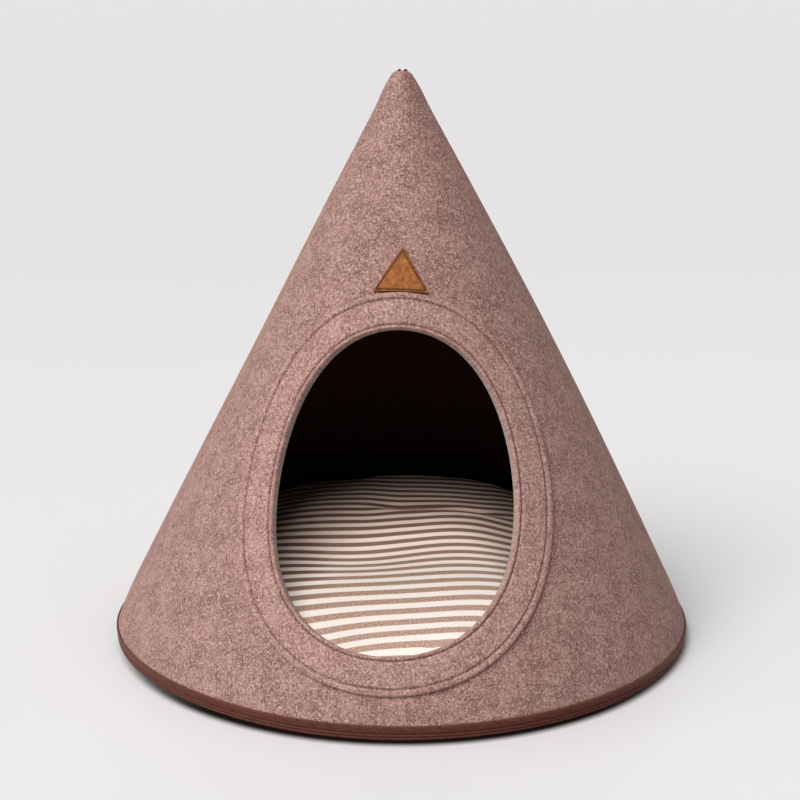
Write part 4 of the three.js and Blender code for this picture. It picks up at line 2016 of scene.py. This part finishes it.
    def build(self, cover: StripedClothFinish) -> bpy.types.Object:
        """Makes the cushion.

        Args:
            cover: Finish of the cover.

        Returns:
            The cushion.
        """
        cushion = self.panels().to_object("striped_cushion", [cover.material()])
        self.fill(cushion)
        self.subdivide(cushion)
        self.draw_stripes(cushion.data, cover.pitch)
        settle(cushion, ["cushion"])
        return cushion


class Lit(Enum):
    """Which pieces a lamp lights."""

    ALL = "all"
    CUSHION = "INCLUDE"
    ALL_BUT_CUSHION = "EXCLUDE"


@dataclass(frozen=True)
class Lamp:
    """A soft, distant lamp. Its turn from the doorway's side and its elevation are in degrees."""

    name: str
    strength: float
    turn: float
    elevation: float
    softness: float
    lights: Lit = Lit.ALL

    def build(self) -> bpy.types.Object:
        """Makes the lamp, turned to shine from its side down on to the bed.

        Returns:
            The lamp, linked to the scene.
        """
        data = bpy.data.lights.new(self.name, "SUN")
        data.energy = self.strength
        data.angle = math.radians(self.softness)
        lamp = bpy.data.objects.new(self.name, data)
        lamp.rotation_euler = (0.5 * math.pi - math.radians(self.elevation), 0.0, math.radians(self.turn))
        bpy.context.scene.collection.objects.link(lamp)
        return lamp


@dataclass
class Studio:
    """Pale floor, soft light and the photograph's camera."""

    camera_distance: float = 1625.65
    camera_elevation: float = math.radians(14.23)
    aim_height: float = 204.49
    camera_shift: float = -1.21
    lens: float = 85.0
    far_clip: float = 200.0
    floor_reach: float = 60.0
    floor_points: int = 9
    world: str = "e9e7e8"
    world_strength: float = 0.34
    mirror_strength: float = 0.9
    backdrop_strength: float = 1.0
    lamps: tuple[Lamp, ...] = (
        Lamp("key", 2.6, -39.0, 50.0, 40.0, Lit.ALL_BUT_CUSHION),
        Lamp("left_fill", 0.4, -85.0, 22.0, 60.0),
        Lamp("right_fill", 0.14, 80.0, 30.0, 60.0),
        Lamp("doorway_lamp", 4.3, -8.0, 48.0, 30.0, Lit.CUSHION),
    )

    def floor(self, finish: FloorFinish) -> bpy.types.Object:
        """A wide level floor as a grid.

        Args:
            finish: Finish of the floor.

        Returns:
            The floor.
        """
        line = np.linspace(-self.floor_reach, self.floor_reach, self.floor_points) / MM
        across, along = np.meshgrid(line, line)
        points = np.stack([across, along, np.zeros_like(across)], axis=-1)
        floor = Surface.from_grid(points, points[..., :2]).to_object("studio_floor", [finish.material()])
        return floor

    def light(self, cushion: bpy.types.Object) -> None:
        """An even pale surround, a soft key with a fill on each side, and a lamp for the cushion alone.

        Args:
            cushion: The piece that the doorway's lamp lights in place of the key.
        """
        world = bpy.data.worlds.new("studio")
        world.use_nodes = True
        background = world.node_tree.nodes["Background"]
        background.inputs["Color"].default_value = linear(self.world)
        graph = Graph(world.node_tree)
        rays = graph.node("ShaderNodeLightPath", {}).outputs
        extra = self.mirror_strength - self.world_strength
        strength = graph.math("MULTIPLY_ADD", rays["Is Glossy Ray"], extra, self.world_strength)
        extra = self.backdrop_strength - self.world_strength
        strength = graph.math("MULTIPLY_ADD", rays["Is Camera Ray"], extra, strength)
        graph.feed(background.inputs["Strength"], strength)
        bpy.context.scene.world = world
        for lamp in self.lamps:
            made = lamp.build()
            if lamp.lights is not Lit.ALL:
                lit = bpy.data.collections.new(f"{lamp.name}_pieces")
                lit.objects.link(cushion)
                lit.collection_objects[0].light_linking.link_state = lamp.lights.value
                made.light_linking.receiver_collection = lit

    def camera(self) -> None:
        """Camera on the doorway's side, looking down by its elevation at the aim height."""
        data = bpy.data.cameras.new("camera")
        data.lens = self.lens
        data.clip_end = self.far_clip
        camera = bpy.data.objects.new("camera", data)
        back = self.camera_distance * math.cos(self.camera_elevation)
        up = self.aim_height + self.camera_distance * math.sin(self.camera_elevation)
        camera.location = (self.camera_shift * MM, -back * MM, up * MM)
        camera.rotation_euler = (0.5 * math.pi - self.camera_elevation, 0.0, 0.0)
        bpy.context.scene.collection.objects.link(camera)
        bpy.context.scene.camera = camera
        bpy.context.scene.view_settings.view_transform = "Standard"


FELT = FeltFinish("mauve_felt", ground="b48d83", shade="8e6961", pale="dbbdb2", dark="6c493f")
# The facing's crease colour is painted shade along its stitching.
FACING_FELT = FeltFinish(
    "facing_felt", ground="bd958b", shade="9c756c", pale="e3c5ba", dark="744f46", crease="57302a"
)
LINING = FeltFinish(
    "dark_felt", ground="38201a", shade="2c1813", pale="4a2d25", dark="180c09", gloss=Gloss(0.95, 0.15)
)
CUT_FELT = FeltFinish("cut_felt", ground="b09a90", shade="a28b82", pale="cbb9b0", dark="7d675e")
TAPE = TapeFinish("brown_tape", ground="7e4734", rib="4f251a", threads_a_metre=520.0, lean=0.6)
# A darker copy of the brown tape for the tip's ends, as painted shade.
TAPE_IN_PAINTED_SHADE = TapeFinish("tape_in_painted_shade", ground="3a1f18", rib="20100c", threads_a_metre=1500.0, lean=0.6)
THREAD = TapeFinish(
    "brown_thread", ground="613529", rib="3d1d16", threads_a_metre=1800.0, lean=0.7, relief=0.1
)


def main() -> None:
    logging.basicConfig(level=logging.INFO, format="%(name)s: %(message)s")
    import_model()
    form = ConeForm()
    doorway = Doorway()
    studio = Studio()
    studio.camera()
    studio.floor(FloorFinish())
    wall = FeltWall(form, doorway).build(FELT, LINING, CUT_FELT, THREAD)
    facing = DoorFacing(form, doorway).build(FACING_FELT, THREAD)
    patch = LeatherLabel(form).build(LeatherFinish(), THREAD)
    floor = BoundFloor(form).build(FELT, TAPE)
    tips = TipTapes().build(TAPE_IN_PAINTED_SHADE)
    cushion = StripedCushion().build(StripedClothFinish())
    studio.light(cushion)


if __name__ == "__main__":
    main()
